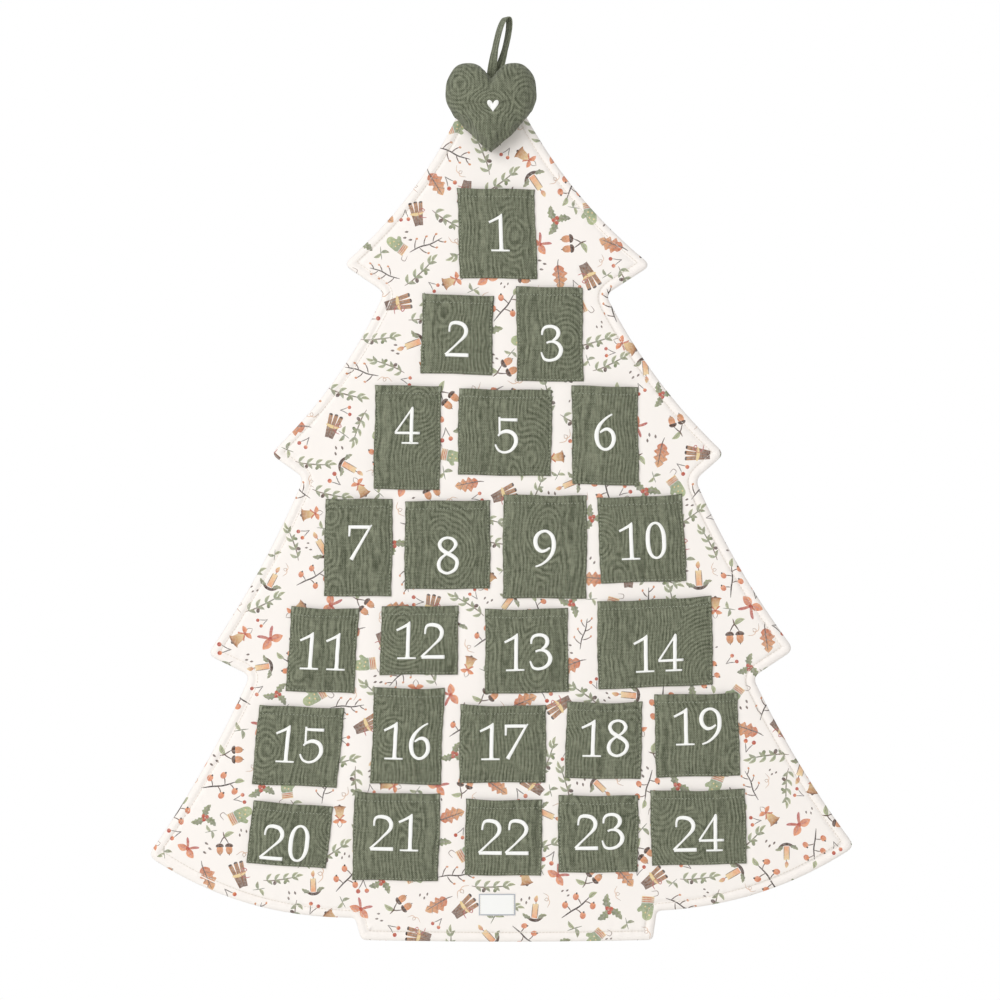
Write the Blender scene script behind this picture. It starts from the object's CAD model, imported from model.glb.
"""Cloth, print, stitching and stuffing of a hanging countdown calendar, built round its model.

Everything is in metres in the model's frame: +X is right, +Z is up and the front faces -Y. The
origin is the inside of the hanging loop's top. Each piece is a surface worked out with numpy.
"""
import math

import bmesh
import bpy
import numpy as np
from bpy.props import FloatProperty, FloatVectorProperty, IntProperty, PointerProperty
from bpy.types import Operator, Panel, PropertyGroup
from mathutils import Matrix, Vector, geometry


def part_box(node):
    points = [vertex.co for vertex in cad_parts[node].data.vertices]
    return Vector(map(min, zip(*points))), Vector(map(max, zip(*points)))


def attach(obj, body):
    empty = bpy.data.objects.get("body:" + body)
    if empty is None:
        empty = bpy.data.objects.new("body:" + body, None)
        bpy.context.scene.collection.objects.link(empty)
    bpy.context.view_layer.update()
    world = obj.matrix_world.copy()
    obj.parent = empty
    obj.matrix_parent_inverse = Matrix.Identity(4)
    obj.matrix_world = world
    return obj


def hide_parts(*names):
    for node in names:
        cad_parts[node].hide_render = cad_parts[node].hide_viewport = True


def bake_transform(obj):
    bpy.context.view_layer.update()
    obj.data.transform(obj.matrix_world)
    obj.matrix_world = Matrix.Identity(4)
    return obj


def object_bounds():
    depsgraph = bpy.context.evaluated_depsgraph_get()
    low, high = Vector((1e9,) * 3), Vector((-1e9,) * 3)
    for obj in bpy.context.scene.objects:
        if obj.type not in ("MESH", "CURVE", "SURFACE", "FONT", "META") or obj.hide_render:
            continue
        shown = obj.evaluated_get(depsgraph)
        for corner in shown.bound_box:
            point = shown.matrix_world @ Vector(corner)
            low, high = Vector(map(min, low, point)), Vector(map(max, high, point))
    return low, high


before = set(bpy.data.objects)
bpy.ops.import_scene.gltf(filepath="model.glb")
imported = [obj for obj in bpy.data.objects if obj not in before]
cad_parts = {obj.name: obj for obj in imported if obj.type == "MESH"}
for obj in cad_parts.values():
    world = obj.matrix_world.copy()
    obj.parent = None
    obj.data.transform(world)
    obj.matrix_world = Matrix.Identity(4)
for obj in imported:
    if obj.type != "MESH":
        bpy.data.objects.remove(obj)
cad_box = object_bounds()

bl_info = {
    "name": "Cloth countdown calendar",
    "version": (1, 0, 0),
    "blender": (4, 5, 0),
    "location": "View3D > Sidebar > Calendar",
    "description": "Dresses the model of a hanging cloth calendar: print, pockets, numerals, heart",
    "category": "Object",
}

MM = 0.001
TAU = 2 * math.pi
POCKETS = range(1, 25)
BLOCK = 2000  # points taken at a time where each is measured against many segments

# The padded tree, as the model has it
TREE_WIDTH = 702 * MM
TREE_AXIS_X = -7 * MM
TREE_LO, TREE_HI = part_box("front_cover")
TREE_TOP = TREE_HI.z
TREE_HEIGHT = 861 * MM
SEAM_HALF = 0.15 * MM
CLOTH = 0.9 * MM
CLEARANCE = 0.3 * MM
FIELD_HALF = 3.6 * MM
FIELD_INSET = 14 * MM
CHANNEL_HALF = 2.1 * MM
CHANNEL_INSET = 9.5 * MM
ROLL_HALF = 3.5 * MM
ROLL_INSET = 5.2 * MM
CORNER_ROUND = {"top": 6 * MM, "tip": 9 * MM, "notch": 8 * MM, "trunk": 5 * MM}

# Corners from the left end of the top edge, anticlockwise from the front: kind, share of the
# width right of the axis, share of the height below the top, bow of the edge that follows
CORNERS = (
    ("top", -0.040, 0.0, -0.063), ("tip", -0.224, 0.2135, 0.0), ("notch", -0.165, 0.246, -0.05),
    ("tip", -0.328, 0.434, 0.0), ("notch", -0.280, 0.462, -0.025), ("tip", -0.418, 0.668, 0.0),
    ("notch", -0.357, 0.692, -0.025), ("tip", -0.503, 0.902, 0.078), ("trunk", -0.207, 0.974, 0.0),
    ("trunk", -0.198, 1.0, 0.006), ("trunk", 0.218, 1.0, 0.0), ("trunk", 0.224, 0.966, 0.07),
    ("tip", 0.507, 0.891, -0.025), ("notch", 0.361, 0.694, 0.0), ("tip", 0.420, 0.662, -0.03),
    ("notch", 0.279, 0.464, 0.0), ("tip", 0.321, 0.434, -0.045), ("notch", 0.151, 0.2485, 0.0),
    ("tip", 0.216, 0.2145, -0.06), ("top", 0.012, 0.0, 0.0),
)
EDGE_STEP = 3.8 * MM
BEND_STEPS = 5
# Rings of points drawn in from the edge: outer faces, the covers' inner faces and the wadding
RING_INSETS = MM * np.array([0.2, 0.6, 1.2, 2.1, 3.2, 4.3, 5.4, 6.6, 7.8, 8.8, 9.5, 10.2, 11.4, 13,
                             15])
INNER_INSETS = MM * np.array([0.9, 2.2, 5.2, 9.5, 15])
WADDING_INSETS = MM * np.array([2.4, 3.6, 5.4, 7.6, 9.5, 11.5, 15])
COTTON_YARN = 0.7 * MM

# A pocket's patch: its cloth and what a turned-in edge adds, how far in its rows of stitches lie
# from the sewn sides and the hem's edge, and how wide its edges are turned in
PATCH_CLOTH = 1.0 * MM
PATCH_DOUBLE = 0.55 * MM
SEAM_STITCH = 2 * MM
HEM_STITCH = 1.4 * MM

# Numerals: 37 mm tall, each stroke's points as right of the middle, up from the foot, and width
NUMERAL_HEIGHT = 37
NUMERAL_ADVANCE = 26.6
DIGITS = {
    "0": [
        [(8.1, 18.7, 4.3), (7.3, 28.0, 4.0), (4.4, 34.1, 3.1), (0, 36.2, 2.5), (-4.4, 34.0, 3.0),
         (-7.3, 28.0, 3.9), (-8.1, 18.7, 4.4), (-7.3, 9.4, 4.0), (-4.4, 3.3, 3.1), (0, 1.2, 2.5),
         (4.4, 3.4, 3.0), (7.3, 9.4, 3.9), (8.1, 18.7, 4.3)],
    ],
    "1": [
        [(1.9, 0.6, 6.4), (1.9, 2.2, 4.6), (1.9, 5, 3.9), (1.9, 20, 3.9), (2.1, 33, 3.8),
         (2.7, 36, 2.6), (3.4, 37.6, 0.8)],
        [(-9.8, 28.9, 2.3), (-4, 31.7, 2.6), (0.2, 34.0, 2.8), (2.9, 36.6, 1.6)],
        [(-8.2, 0.95, 1.8), (1, 0.95, 2.0), (10.2, 0.95, 1.8)],
    ],
    "2": [
        [(-7.8, 25.0, 1.9), (-7.3, 30.3, 2.3), (-5.3, 33.5, 3.1), (-0.4, 34.3, 3.8),
         (5.6, 32.6, 4.1), (9.0, 28.0, 4.1), (8.7, 23.0, 3.8), (6.1, 19.0, 3.0), (2.1, 15.0, 2.3),
         (-2.5, 10.4, 2.0), (-7.5, 5.6, 2.3), (-10.9, 2.0, 2.8)],
        [(-10.9, 1.6, 2.8), (-6, 2.0, 3.5), (3, 2.0, 3.7), (11.9, 2.0, 3.8)],
    ],
    "3": [
        [(-9.6, 26.8, 1.9), (-8.8, 31.6, 2.6), (-6.2, 34.6, 3.1), (-1.6, 35.6, 3.3), (3, 34.7, 3.5),
         (6.2, 31.9, 4.0), (6.8, 28.1, 4.1), (5, 24.3, 3.4), (1.2, 21.1, 2.4)],
        [(-5.2, 18.9, 2.0), (-2, 20.1, 2.3), (2.5, 20.1, 2.9), (6.5, 18.1, 3.7), (9, 14.3, 4.2),
         (9.3, 11.0, 4.3), (7.8, 6.7, 3.9), (3.8, 3.1, 3.2), (-2, 1.6, 2.9), (-6.8, 2.5, 2.8),
         (-9, 5.3, 2.4), (-10.6, 9.7, 1.6)],
    ],
    "4": [
        [(4.2, 0.8, 3.6), (4.3, 20, 3.7), (4.6, 33, 3.6), (5.0, 36.2, 2.6), (5.4, 37.4, 1.0)],
        [(4.9, 36.0, 1.9), (-3.6, 23.4, 1.9), (-11.8, 11.2, 2.3)],
        [(-12.3, 10.9, 2.2), (-5, 11.0, 2.6), (12.9, 11.1, 2.6)],
        [(-5.2, 1.0, 1.8), (3, 1.0, 2.0), (11.4, 1.0, 1.8)],
    ],
    "5": [
        [(-7.2, 36.8, 2.2), (-6.9, 27, 2.2), (-6.7, 18.8, 2.0)],
        [(-8.1, 34.2, 2.6), (0, 34.0, 3.0), (10.8, 34.0, 3.2)],
        [(-8.4, 17.8, 1.9), (-5.4, 20.8, 2.8), (-0.6, 22.5, 3.7), (4.4, 21.6, 4.0),
         (8.2, 18.4, 4.1), (9.6, 13.8, 4.1), (8.6, 8.6, 3.8), (4.6, 3.4, 3.0), (-1.3, 1.3, 2.5),
         (-6.6, 2.6, 2.4), (-9.4, 5.6, 2.2), (-11, 9.2, 1.7)],
    ],
    "6": [
        [(7.5, 36.9, 1.7), (2.9, 34.1, 2.1), (-1.7, 30.1, 2.7), (-5.7, 25.1, 3.6),
         (-8.1, 19.1, 4.3), (-8.4, 13.1, 4.4), (-6.9, 6.7, 3.8), (-3.5, 2.7, 3.1), (0.5, 1.5, 2.9),
         (4.7, 3.3, 3.3), (7.8, 7.5, 3.9), (8.8, 13.1, 4.2), (7.3, 18.7, 4.1), (3.5, 21.7, 3.6),
         (-0.7, 21.3, 2.8), (-5.1, 18.3, 1.9)],
    ],
    "7": [
        [(-10.7, 24.6, 2.0), (-10.6, 29, 2.2), (-10.5, 35.4, 2.8)],
        [(-11.7, 34.0, 3.4), (0, 34.0, 3.5), (10.2, 34.0, 3.4)],
        [(11.5, 36.2, 1.4), (7.5, 30.0, 2.4), (1.3, 19, 2.8), (-4.5, 8.6, 3.3), (-8.5, 1.3, 4.0)],
    ],
    "8": [
        [(-0.4, 36.8, 2.7), (-5.7, 34.9, 3.2), (-8.2, 30.3, 3.7), (-6.2, 25.3, 3.9),
         (-1.1, 21.6, 4.1), (4.8, 18.3, 4.0), (8.5, 14.6, 3.8), (9.1, 10.1, 3.7), (6.4, 4.5, 3.3),
         (-0.5, 1.4, 2.7), (-6.9, 4.0, 3.3), (-9.1, 9.6, 3.8), (-7.6, 14.9, 3.3),
         (-3.7, 18.9, 2.5), (1.5, 22.2, 2.3), (5.7, 25.9, 2.9), (7.8, 30.6, 3.7), (5.0, 35.1, 3.2),
         (-0.4, 36.8, 2.7)],
    ],
    "9": [
        [(-8.9, 0.8, 1.7), (-3.5, 2.8, 2.1), (1.7, 6.4, 2.6), (6.1, 11.4, 3.4), (8.7, 17.8, 4.1),
         (9.2, 24.8, 4.3), (7.5, 31.4, 3.9), (3.9, 35.3, 3.2), (-0.3, 36.4, 2.9), (-5.1, 34.5, 3.4),
         (-8.2, 30.4, 4.0), (-9.1, 25.2, 4.3), (-7.5, 19.8, 4.1), (-3.7, 16.5, 3.6),
         (0.7, 16.8, 2.8), (5.5, 19.8, 1.9)],
    ],
}

# Where each numeral sits off its pocket's middle, right and up, in millimetres: none is centred
NUMERAL_OFFSETS = (
    (1.8, 0.3), (-0.2, -4.5), (1.7, -9.5), (-0.3, 11.8), (1.6, -3.1), (-0.3, 3.1), (1.8, 5.0),
    (0.6, -11.1), (-0.4, -2.3), (0.7, -2.1), (0.1, -1.5), (0.2, 0.0), (0.8, -1.4), (1.9, -10.4),
    (0.7, 1.9), (-0.6, -5.2), (0.2, 2.3), (0.6, 1.9), (0.2, 8.7), (-2.9, -7.9), (-1.1, 4.3),
    (0.0, 1.2), (1.2, 2.7), (-1.2, -5.7),
)

# Half of a heart from its cleft to its point: cubic curves as shares of its width and height
HEART_CURVES = (
    ((0, 0.17), (0.055, 0.11), (0.12, 0), (0.25, 0)),
    ((0.25, 0), (0.4, 0), (0.5, 0.14), (0.5, 0.33)),
    ((0.5, 0.33), (0.5, 0.55), (0.27, 0.78), (0, 1)),
)
EMBLEM_CURVES = (
    ((0, 0.3), (0.06, 0.1), (0.19, 0), (0.3, 0)),
    ((0.3, 0), (0.42, 0), (0.5, 0.08), (0.49, 0.2)),
    ((0.49, 0.2), (0.44, 0.48), (0.13, 0.72), (0, 1)),
)
HEART_LO, HEART_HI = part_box("heart_front")
HEART_BACK_LO, HEART_BACK_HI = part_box("heart_back")
HEART_CENTRE = np.array([(HEART_LO.x + HEART_HI.x) / 2, (HEART_LO.z + HEART_HI.z) / 2])
HEART_WIDTH = HEART_HI.x - HEART_LO.x
HEART_HEIGHT = HEART_HI.z - HEART_LO.z

# How the heart's simulation runs, and how far it may move a point
SWELL_FRAMES = 20
SWELL_PRESSURE = 12
SWELL_CAP = 1.6 * MM

# The hanging tape, its legs closer and less twisted than the model's and its foot further left
TAPE_WIDTH = 9.5 * MM
TAPE_THICKNESS = 1.4 * MM
LOOP_DROP = 63 * MM
LOOP_SPREAD_X = 4.5 * MM
LOOP_SPREAD_Y = 4 * MM
LOOP_ROOT_X = -14 * MM
LOOP_ROOT_SPREAD = 2.3 * MM
LOOP_TWIST = math.radians(49)
LOOP_ROUNDNESS = 2.2
TAPE_TUCK = 9 * MM

# Inks of the print, by the names a printer would give them
INKS = {
    "olive": "#7f8d55", "pale olive": "#aab682", "sage": "#7d8d6a", "fir": "#4f5b37",
    "rust": "#c05f31", "apricot": "#e79460", "tan": "#d59c66", "toffee": "#b0753f",
    "bark": "#2c1a12", "umber": "#5d3a26", "berry": "#a93236", "straw": "#e6cb92",
    "mist": "#bfc4bc",
}


def linear(colour):
    """A hex colour turned from sRGB to linear light, as (r, g, b)."""
    parts = [int(colour[i:i + 2], 16) / 255 for i in (1, 3, 5)]
    return tuple(c / 12.92 if c <= 0.04045 else ((c + 0.055) / 1.055) ** 2.4 for c in parts)


def colour_setting(name, description, code):
    """A colour setting whose default is a hex code."""
    return FloatVectorProperty(name=name, description=description, subtype="COLOR",
                               default=linear(code))


def length_setting(name, description, millimetres):
    """A length setting whose default is given in millimetres."""
    return FloatProperty(name=name, description=description, unit="LENGTH",
                         default=millimetres * MM)


class CalendarColours(PropertyGroup):
    """Colours of the cloths and threads"""

    cotton: colour_setting("Cotton", "Cream ground of the printed cloth", "#f9f3ee")
    canvas_light: colour_setting("Canvas, light yarn", "Raised yarns of the sage canvas", "#8a8e78")
    canvas_dark: colour_setting("Canvas, dark yarn", "Gaps between the canvas yarns", "#404532")
    embroidery: colour_setting("Embroidery", "White satin thread", "#fefefb")
    cream_thread: colour_setting("Cream thread", "Edge topstitch", "#e9e1d6")
    green_thread: colour_setting("Green thread", "Pocket seams and hems", "#9fa48f")
    label: colour_setting("Label", "Ground of the woven label", "#f6f6f4")
    label_border: colour_setting("Label border", "Line round the label", "#a3a7b0")
    filling: colour_setting("Filling", "Polyester wadding and stuffing", "#f4f4f0")


class CalendarSizes(PropertyGroup):
    """Sizes of what is sewn, printed and stitched"""

    waves: length_setting("Waves", "Height of the soft waves in the padded field", 0.45)
    pucker: length_setting("Pucker", "Height of the puckers along the topstitch", 0.35)
    seam_dip: length_setting("Seam dip", "How far a pocket's seam pulls the quilt in", 0.7)
    grid: length_setting("Grid", "Spacing of the field's own points", 7)
    topstitch: length_setting("Topstitch", "Pitch of the edge stitches", 3.4)
    pocket_rise: length_setting("Pocket rise", "How far a pocket bows off the tree", 3.8)
    pocket_stitch: length_setting("Pocket stitch", "Pitch of the pocket stitches", 3.4)
    hem: length_setting("Hem", "Depth of the hem at a pocket's mouth", 9.5)
    satin: length_setting("Satin stitch", "How high the numerals stand off", 0.8)
    motif_spacing: length_setting("Motif spacing", "Distance from motif to motif", 35)
    print_seed: IntProperty(name="Print seed", description="Seed of the print's scatter",
                            default=31)


def sizes():
    """The scene's own sizes."""
    return bpy.context.scene.calendar_sizes


def colours():
    """The scene's own colours."""
    return bpy.context.scene.calendar_colours


# Small tools

def unit(vectors):
    """Vectors scaled to length 1."""
    return vectors / np.maximum(np.linalg.norm(vectors, axis=-1, keepdims=True), 1e-12)


def ease(t):
    """Smooth step from 0 to 1: 3 t squared less 2 t cubed, for t held between 0 and 1."""
    t = np.clip(t, 0, 1)
    return t * t * (3 - 2 * t)


def dome(t):
    """A quarter circle's rise from 0 to 1 as t goes from 0 to 1."""
    return np.sqrt(1 - (1 - np.clip(t, 0, 1)) ** 2)


def bell(t):
    """A bump of height 1 at t = 0: e to the minus t squared."""
    return np.exp(-t * t)


def smooth_path(points, steps=8):
    """A Catmull-Rom curve through the points, with a number of steps to each span; it is closed
    where the last point is the first."""
    p = np.asarray(points, float)
    closed = np.allclose(p[0], p[-1])
    before = p[-2] if closed else 2 * p[0] - p[1]
    after = p[1] if closed else 2 * p[-1] - p[-2]
    p = np.vstack([before, p, after])
    a, b, c, d = p[:-3], p[1:-2], p[2:-1], p[3:]
    t = (np.arange(steps) / steps)[:, None, None]
    curve = (2 * b + (c - a) * t + (2 * a - 5 * b + 4 * c - d) * t**2
             + (3 * b - a - 3 * c + d) * t**3) / 2
    return np.vstack([curve.transpose(1, 0, 2).reshape(-1, p.shape[1]), c[-1:]])


def grid_faces(rows, columns, wrap=False):
    """Quads of a grid whose points run along its rows; wrap joins each row's end to its start."""
    across = columns if wrap else columns - 1
    r, c = np.meshgrid(np.arange(rows - 1), np.arange(across), indexing="ij")
    d = (c + 1) % columns
    quads = [r * columns + c, r * columns + d, (r + 1) * columns + d, (r + 1) * columns + c]
    return np.stack(quads, -1).reshape(-1, 4)


def tube_faces(rings, around):
    """Faces of a tube whose ends are each closed by one face."""
    ring = np.arange(around)
    return [*grid_faces(rings, around, True), ring[::-1], ring + (rings - 1) * around]


def sheet_faces(rows, columns):
    """Faces of a closed sheet: one grid, a second one behind it, and the strips between."""
    quads = grid_faces(rows, columns)
    ring = np.concatenate([np.arange(columns), np.arange(1, rows) * columns + columns - 1,
                           (rows - 1) * columns + np.arange(columns - 2, -1, -1),
                           np.arange(rows - 2, 0, -1) * columns])
    after = np.roll(ring, -1)
    count = rows * columns
    rim = np.stack([ring, after, after + count, ring + count], 1)
    return np.vstack([quads, quads[:, ::-1] + count, rim])


def stand(flat, y):
    """Points given as right and up, stood up in space at the depths y."""
    return np.stack([flat[..., 0], y, flat[..., 1]], -1)


def distances(path):
    """How far along a path each of its points lies."""
    return np.cumsum(np.linalg.norm(np.diff(path, axis=0, prepend=path[:1]), axis=1))


def pick(path, run, where):
    """Points at given distances along a path, whose own points lie at the distances run."""
    return np.stack([np.interp(where, run, column) for column in path.T], 1)


def nearest(points, starts, ends):
    """For each point the distance to the nearest of some segments, which one that is, and how
    far along it the foot of the perpendicular lies, from 0 to 1."""
    span = ends - starts
    square = (span**2).sum(1)
    gap, index, share = [], [], []
    for block in np.array_split(points, len(points) // BLOCK + 1):
        off = block[:, None] - starts
        t = np.clip((off * span).sum(2) / square, 0, 1)
        far = ((off - t[..., None] * span) ** 2).sum(2)
        best = far.argmin(1)
        rows = np.arange(len(block))
        gap.append(np.sqrt(far[rows, best]))
        index.append(best)
        share.append(t[rows, best])
    return np.concatenate(gap), np.concatenate(index), np.concatenate(share)


def build(name, body, material, points, faces, uv=None, grain=None, replaces=()):
    """Makes one piece from points and faces, turns its faces outwards and lets it ride on a body,
    where one is given. grain is how far across the canvas's thick yarns each point lies."""
    mesh = bpy.data.meshes.new(name)
    mesh.from_pydata(np.asarray(points, float).reshape(-1, 3).tolist(), [],
                     [list(map(int, f)) for f in faces])
    mesh.materials.append(material)
    if uv is not None:
        index = np.empty(len(mesh.loops), int)
        mesh.loops.foreach_get("vertex_index", index)
        layer = mesh.uv_layers.new(name="cloth")
        layer.data.foreach_set("uv", np.asarray(uv, float).reshape(-1, 2)[index].ravel())
    if grain is not None:
        layer = mesh.attributes.new("grain", "FLOAT", "POINT")
        layer.data.foreach_set("value", np.asarray(grain, np.float32).ravel())
    bm = bmesh.new()
    bm.from_mesh(mesh)
    bmesh.ops.recalc_face_normals(bm, faces=bm.faces)
    bm.to_mesh(mesh)
    bm.free()
    mesh.polygons.foreach_set("use_smooth", np.ones(len(mesh.polygons), bool))
    obj = bpy.data.objects.new(name, mesh)
    bpy.context.scene.collection.objects.link(obj)
    if body:
        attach(obj, body)
    if replaces:
        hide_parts(*replaces)
    return obj


def node_points(name):
    """The corner points of a node of the model, as an array."""
    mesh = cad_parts[name].data
    points = np.empty(len(mesh.vertices) * 3)
    mesh.vertices.foreach_get("co", points)
    return points.reshape(-1, 3)


def stitches(name, body, slot, material, starts, ends, out, thread, replaces=()):
    """A row of stitches, each a spindle from one point to another: its rings have the radius of
    the thread, thinner at both ends, and its middle rises off the cloth along out."""
    share = np.array([0, 0.14, 0.5, 0.86, 1])
    radius = np.array([0.45, 0.95, 1, 0.95, 0.45]) * thread / 2
    lift = np.array([-0.5, 0.25, 0.5, 0.25, -0.5]) * thread
    turn = np.arange(6) * TAU / 6
    along = unit(ends - starts)
    out = np.broadcast_to(out, along.shape)
    out = unit(out - (out * along).sum(1, keepdims=True) * along)
    side = np.cross(along, out)
    centre = (starts[:, None] + (ends - starts)[:, None] * share[:, None]
              + out[:, None] * lift[:, None])
    circle = side[:, None] * np.cos(turn)[:, None] + out[:, None] * np.sin(turn)[:, None]
    points = centre[:, :, None] + radius[:, None, None] * circle[:, None]
    count, rings, around = points.shape[:3]
    first = np.arange(count)[:, None] * rings * around
    quads = (grid_faces(rings, around, True)[None] + first[:, None]).reshape(-1, 4)
    ring = np.arange(around)
    caps = np.vstack([first + ring[::-1], first + (rings - 1) * around + ring])
    return build(name, body, material, points, [*quads, *caps], replaces=replaces)


# Materials

def add(tree, kind, inputs=(), **settings):
    """Adds a shader node. Settings are the node's own; inputs go in by name or in order, and each
    is a value, a socket to link, or a node whose first output is linked."""
    node = tree.nodes.new("ShaderNode" + kind)
    for key, value in settings.items():
        setattr(node, key, value)
    for key, value in inputs.items() if isinstance(inputs, dict) else enumerate(inputs):
        if isinstance(value, bpy.types.Node):
            value = value.outputs[0]
        if isinstance(value, bpy.types.NodeSocket):
            tree.links.new(value, node.inputs[key])
        else:
            node.inputs[key].default_value = value
    return node


def calc(tree, operation, *inputs):
    """A Math node."""
    return add(tree, "Math", inputs, operation=operation)


def mixed(tree, share, first, second, blend="MIX"):
    """The colour that lies a share of the way from first to second, or their blend."""
    return add(tree, "Mix", {0: share, 6: first, 7: second}, data_type="RGBA",
               blend_type=blend).outputs[2]


def noise(tree, place, scale, detail, roughness=0.5):
    """Cloudy noise with as many spots to the metre as scale says."""
    return add(tree, "TexNoise", {"Vector": place, "Scale": scale, "Detail": detail,
                                  "Roughness": roughness})


def wave(tree, place, length):
    """A sine between -1 and 1 that repeats at each length."""
    return calc(tree, "SINE", calc(tree, "MULTIPLY", place, TAU / length))


def reach(tree, value, middle):
    """How far a value lies from a middle one, either way."""
    return calc(tree, "ABSOLUTE", calc(tree, "SUBTRACT", value, middle))


def start_material(name):
    """An empty node material with its node tree."""
    material = bpy.data.materials.new(name)
    material.use_nodes = True
    material.node_tree.nodes.clear()
    return material, material.node_tree


def finish_material(tree, colour, bump, strength, distance, **inputs):
    """Ends a material in one Principled shader, with its relief from a Bump node."""
    relief = add(tree, "Bump", {"Height": bump, "Strength": strength, "Distance": distance})
    names = {key.replace("_", " "): value for key, value in inputs.items()}
    shader = add(tree, "BsdfPrincipled", {"Base Color": colour, "Normal": relief, **names})
    add(tree, "OutputMaterial", {"Surface": shader})


def shaded(tree, colour, pattern, low, high, darkest):
    """A colour darkened by a pattern: unchanged where the pattern is high, and times darkest where
    it is low."""
    tone = add(tree, "MapRange", (pattern, low, high, darkest, 1.0))
    return mixed(tree, 1.0, (*colour, 1), tone, "MULTIPLY")


def plain_weave(tree, place, pitch):
    """Relief of a plain weave whose yarns lie pitch apart: the product of one sine across and one
    up, which rises wherever a yarn passes over another."""
    waves = [wave(tree, socket, 2 * pitch)
             for socket in add(tree, "SeparateXYZ", (place,)).outputs[:2]]
    return calc(tree, "MULTIPLY_ADD", calc(tree, "MULTIPLY", *waves), 0.5, 0.5)


def slubs(tree, place, stretch):
    """Uneven yarns: noise drawn out along the cloth's own directions, with as many spots to the
    metre each way as stretch says."""
    return noise(tree, add(tree, "Mapping", {0: place, "Scale": stretch}), 1.0, 2.0, 0.6)


def cloth_place(tree):
    """The cloth's own coordinates in metres."""
    return add(tree, "UVMap", uv_map="cloth")


def sage_canvas(name):
    """Half-linen canvas, plain woven and dyed sage. Its yarns lie 0.75 mm apart, drawn here at
    1.1 mm so that they show. Uneven yarns run both ways, and where they bunch the light catches
    them as soft streaks 3.3 mm apart that bend with the grain."""
    yarn, streak_pitch, fray_width = 1.1 * MM, 3.3 * MM, 1.8 * MM
    material, tree = start_material(name)
    place = cloth_place(tree)
    grain = add(tree, "Attribute", attribute_name="grain").outputs["Fac"]
    swayed = calc(tree, "MULTIPLY_ADD", noise(tree, place, 210.0, 2.0), fray_width, grain)
    patch = add(tree, "MapRange", (noise(tree, place, 75.0, 1.0), 0.3, 0.65, 0.09, 0.28))
    weave = plain_weave(tree, place, yarn)
    warp = slubs(tree, place, (620.0, 90.0, 1.0))
    weft = slubs(tree, place, (110.0, 560.0, 1.0))
    tone = calc(tree, "MULTIPLY_ADD", wave(tree, swayed, streak_pitch), patch, -0.82)
    for part, weight in ((warp, 1.4), (weft, 0.8), (weave, 0.44)):
        tone = calc(tree, "MULTIPLY_ADD", part, weight, tone)
    colour = mixed(tree, tone, (*colours().canvas_dark, 1), (*colours().canvas_light, 1))
    height = calc(tree, "MULTIPLY_ADD", warp, 0.8, weave)
    finish_material(tree, colour, height, 0.8, 0.4 * MM, Roughness=0.9, Sheen_Weight=0.12,
                    Sheen_Roughness=0.5)
    return material


def printed_cotton():
    """Fine plain-woven cotton with a pigment print. The ink lies in the yarns, so the weave shows
    through it and its strength wanders like a watercolour's; yarns 0.45 mm, drawn at 0.7 mm."""
    material, tree = start_material("cotton, pigment printed")
    place = cloth_place(tree)
    ink = add(tree, "Attribute", attribute_name="ink")
    tint = add(tree, "MapRange", (noise(tree, place, 420.0, 3.0, 0.65), 0.32, 0.62, 0.74, 1.0))
    weave = plain_weave(tree, place, COTTON_YARN)
    ground = shaded(tree, colours().cotton, weave, 0.0, 1.0, 0.965)
    cover = calc(tree, "MULTIPLY", ink.outputs["Alpha"], tint)
    colour = mixed(tree, cover, ground, ink.outputs["Color"])
    finish_material(tree, colour, weave, 0.35, 0.15 * MM, Roughness=0.88, Sheen_Weight=0.08,
                    Sheen_Roughness=0.5)
    return material


def plain_cotton():
    """The same cotton undyed and unprinted, for the back: matt, with a faint yarn grain."""
    material, tree = start_material("cotton, plain backing")
    place = cloth_place(tree)
    colour = shaded(tree, colours().cotton, slubs(tree, place, (500.0, 40.0, 1.0)), 0.3, 0.7, 0.94)
    finish_material(tree, colour, plain_weave(tree, place, COTTON_YARN), 0.35, 0.15 * MM,
                    Roughness=0.9, Sheen_Weight=0.08)
    return material


def satin_thread(name):
    """Rayon embroidery thread in satin stitch: bright, with a silky gloss and a ridge for each
    thread, 0.4 mm apart, drawn at 0.8 mm."""
    material, tree = start_material(name)
    ridge = wave(tree, add(tree, "SeparateXYZ", (cloth_place(tree),)).outputs[1], 0.8 * MM)
    colour = shaded(tree, colours().embroidery, ridge, -1.0, 1.0, 0.95)
    finish_material(tree, colour, ridge, 0.5, 0.12 * MM, Roughness=0.42, Sheen_Weight=0.2)
    return material


def sewing_thread(name, colour):
    """Spun polyester sewing thread: matt and slightly fuzzy, its twist shown as fine bands."""
    material, tree = start_material(name)
    twist = noise(tree, add(tree, "TexCoord").outputs["Object"], 2600.0, 1.0)
    finish_material(tree, shaded(tree, colour, twist, 0.3, 0.7, 0.86), twist, 0.4, 0.1 * MM,
                    Roughness=0.65, Sheen_Weight=0.15)
    return material


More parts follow.
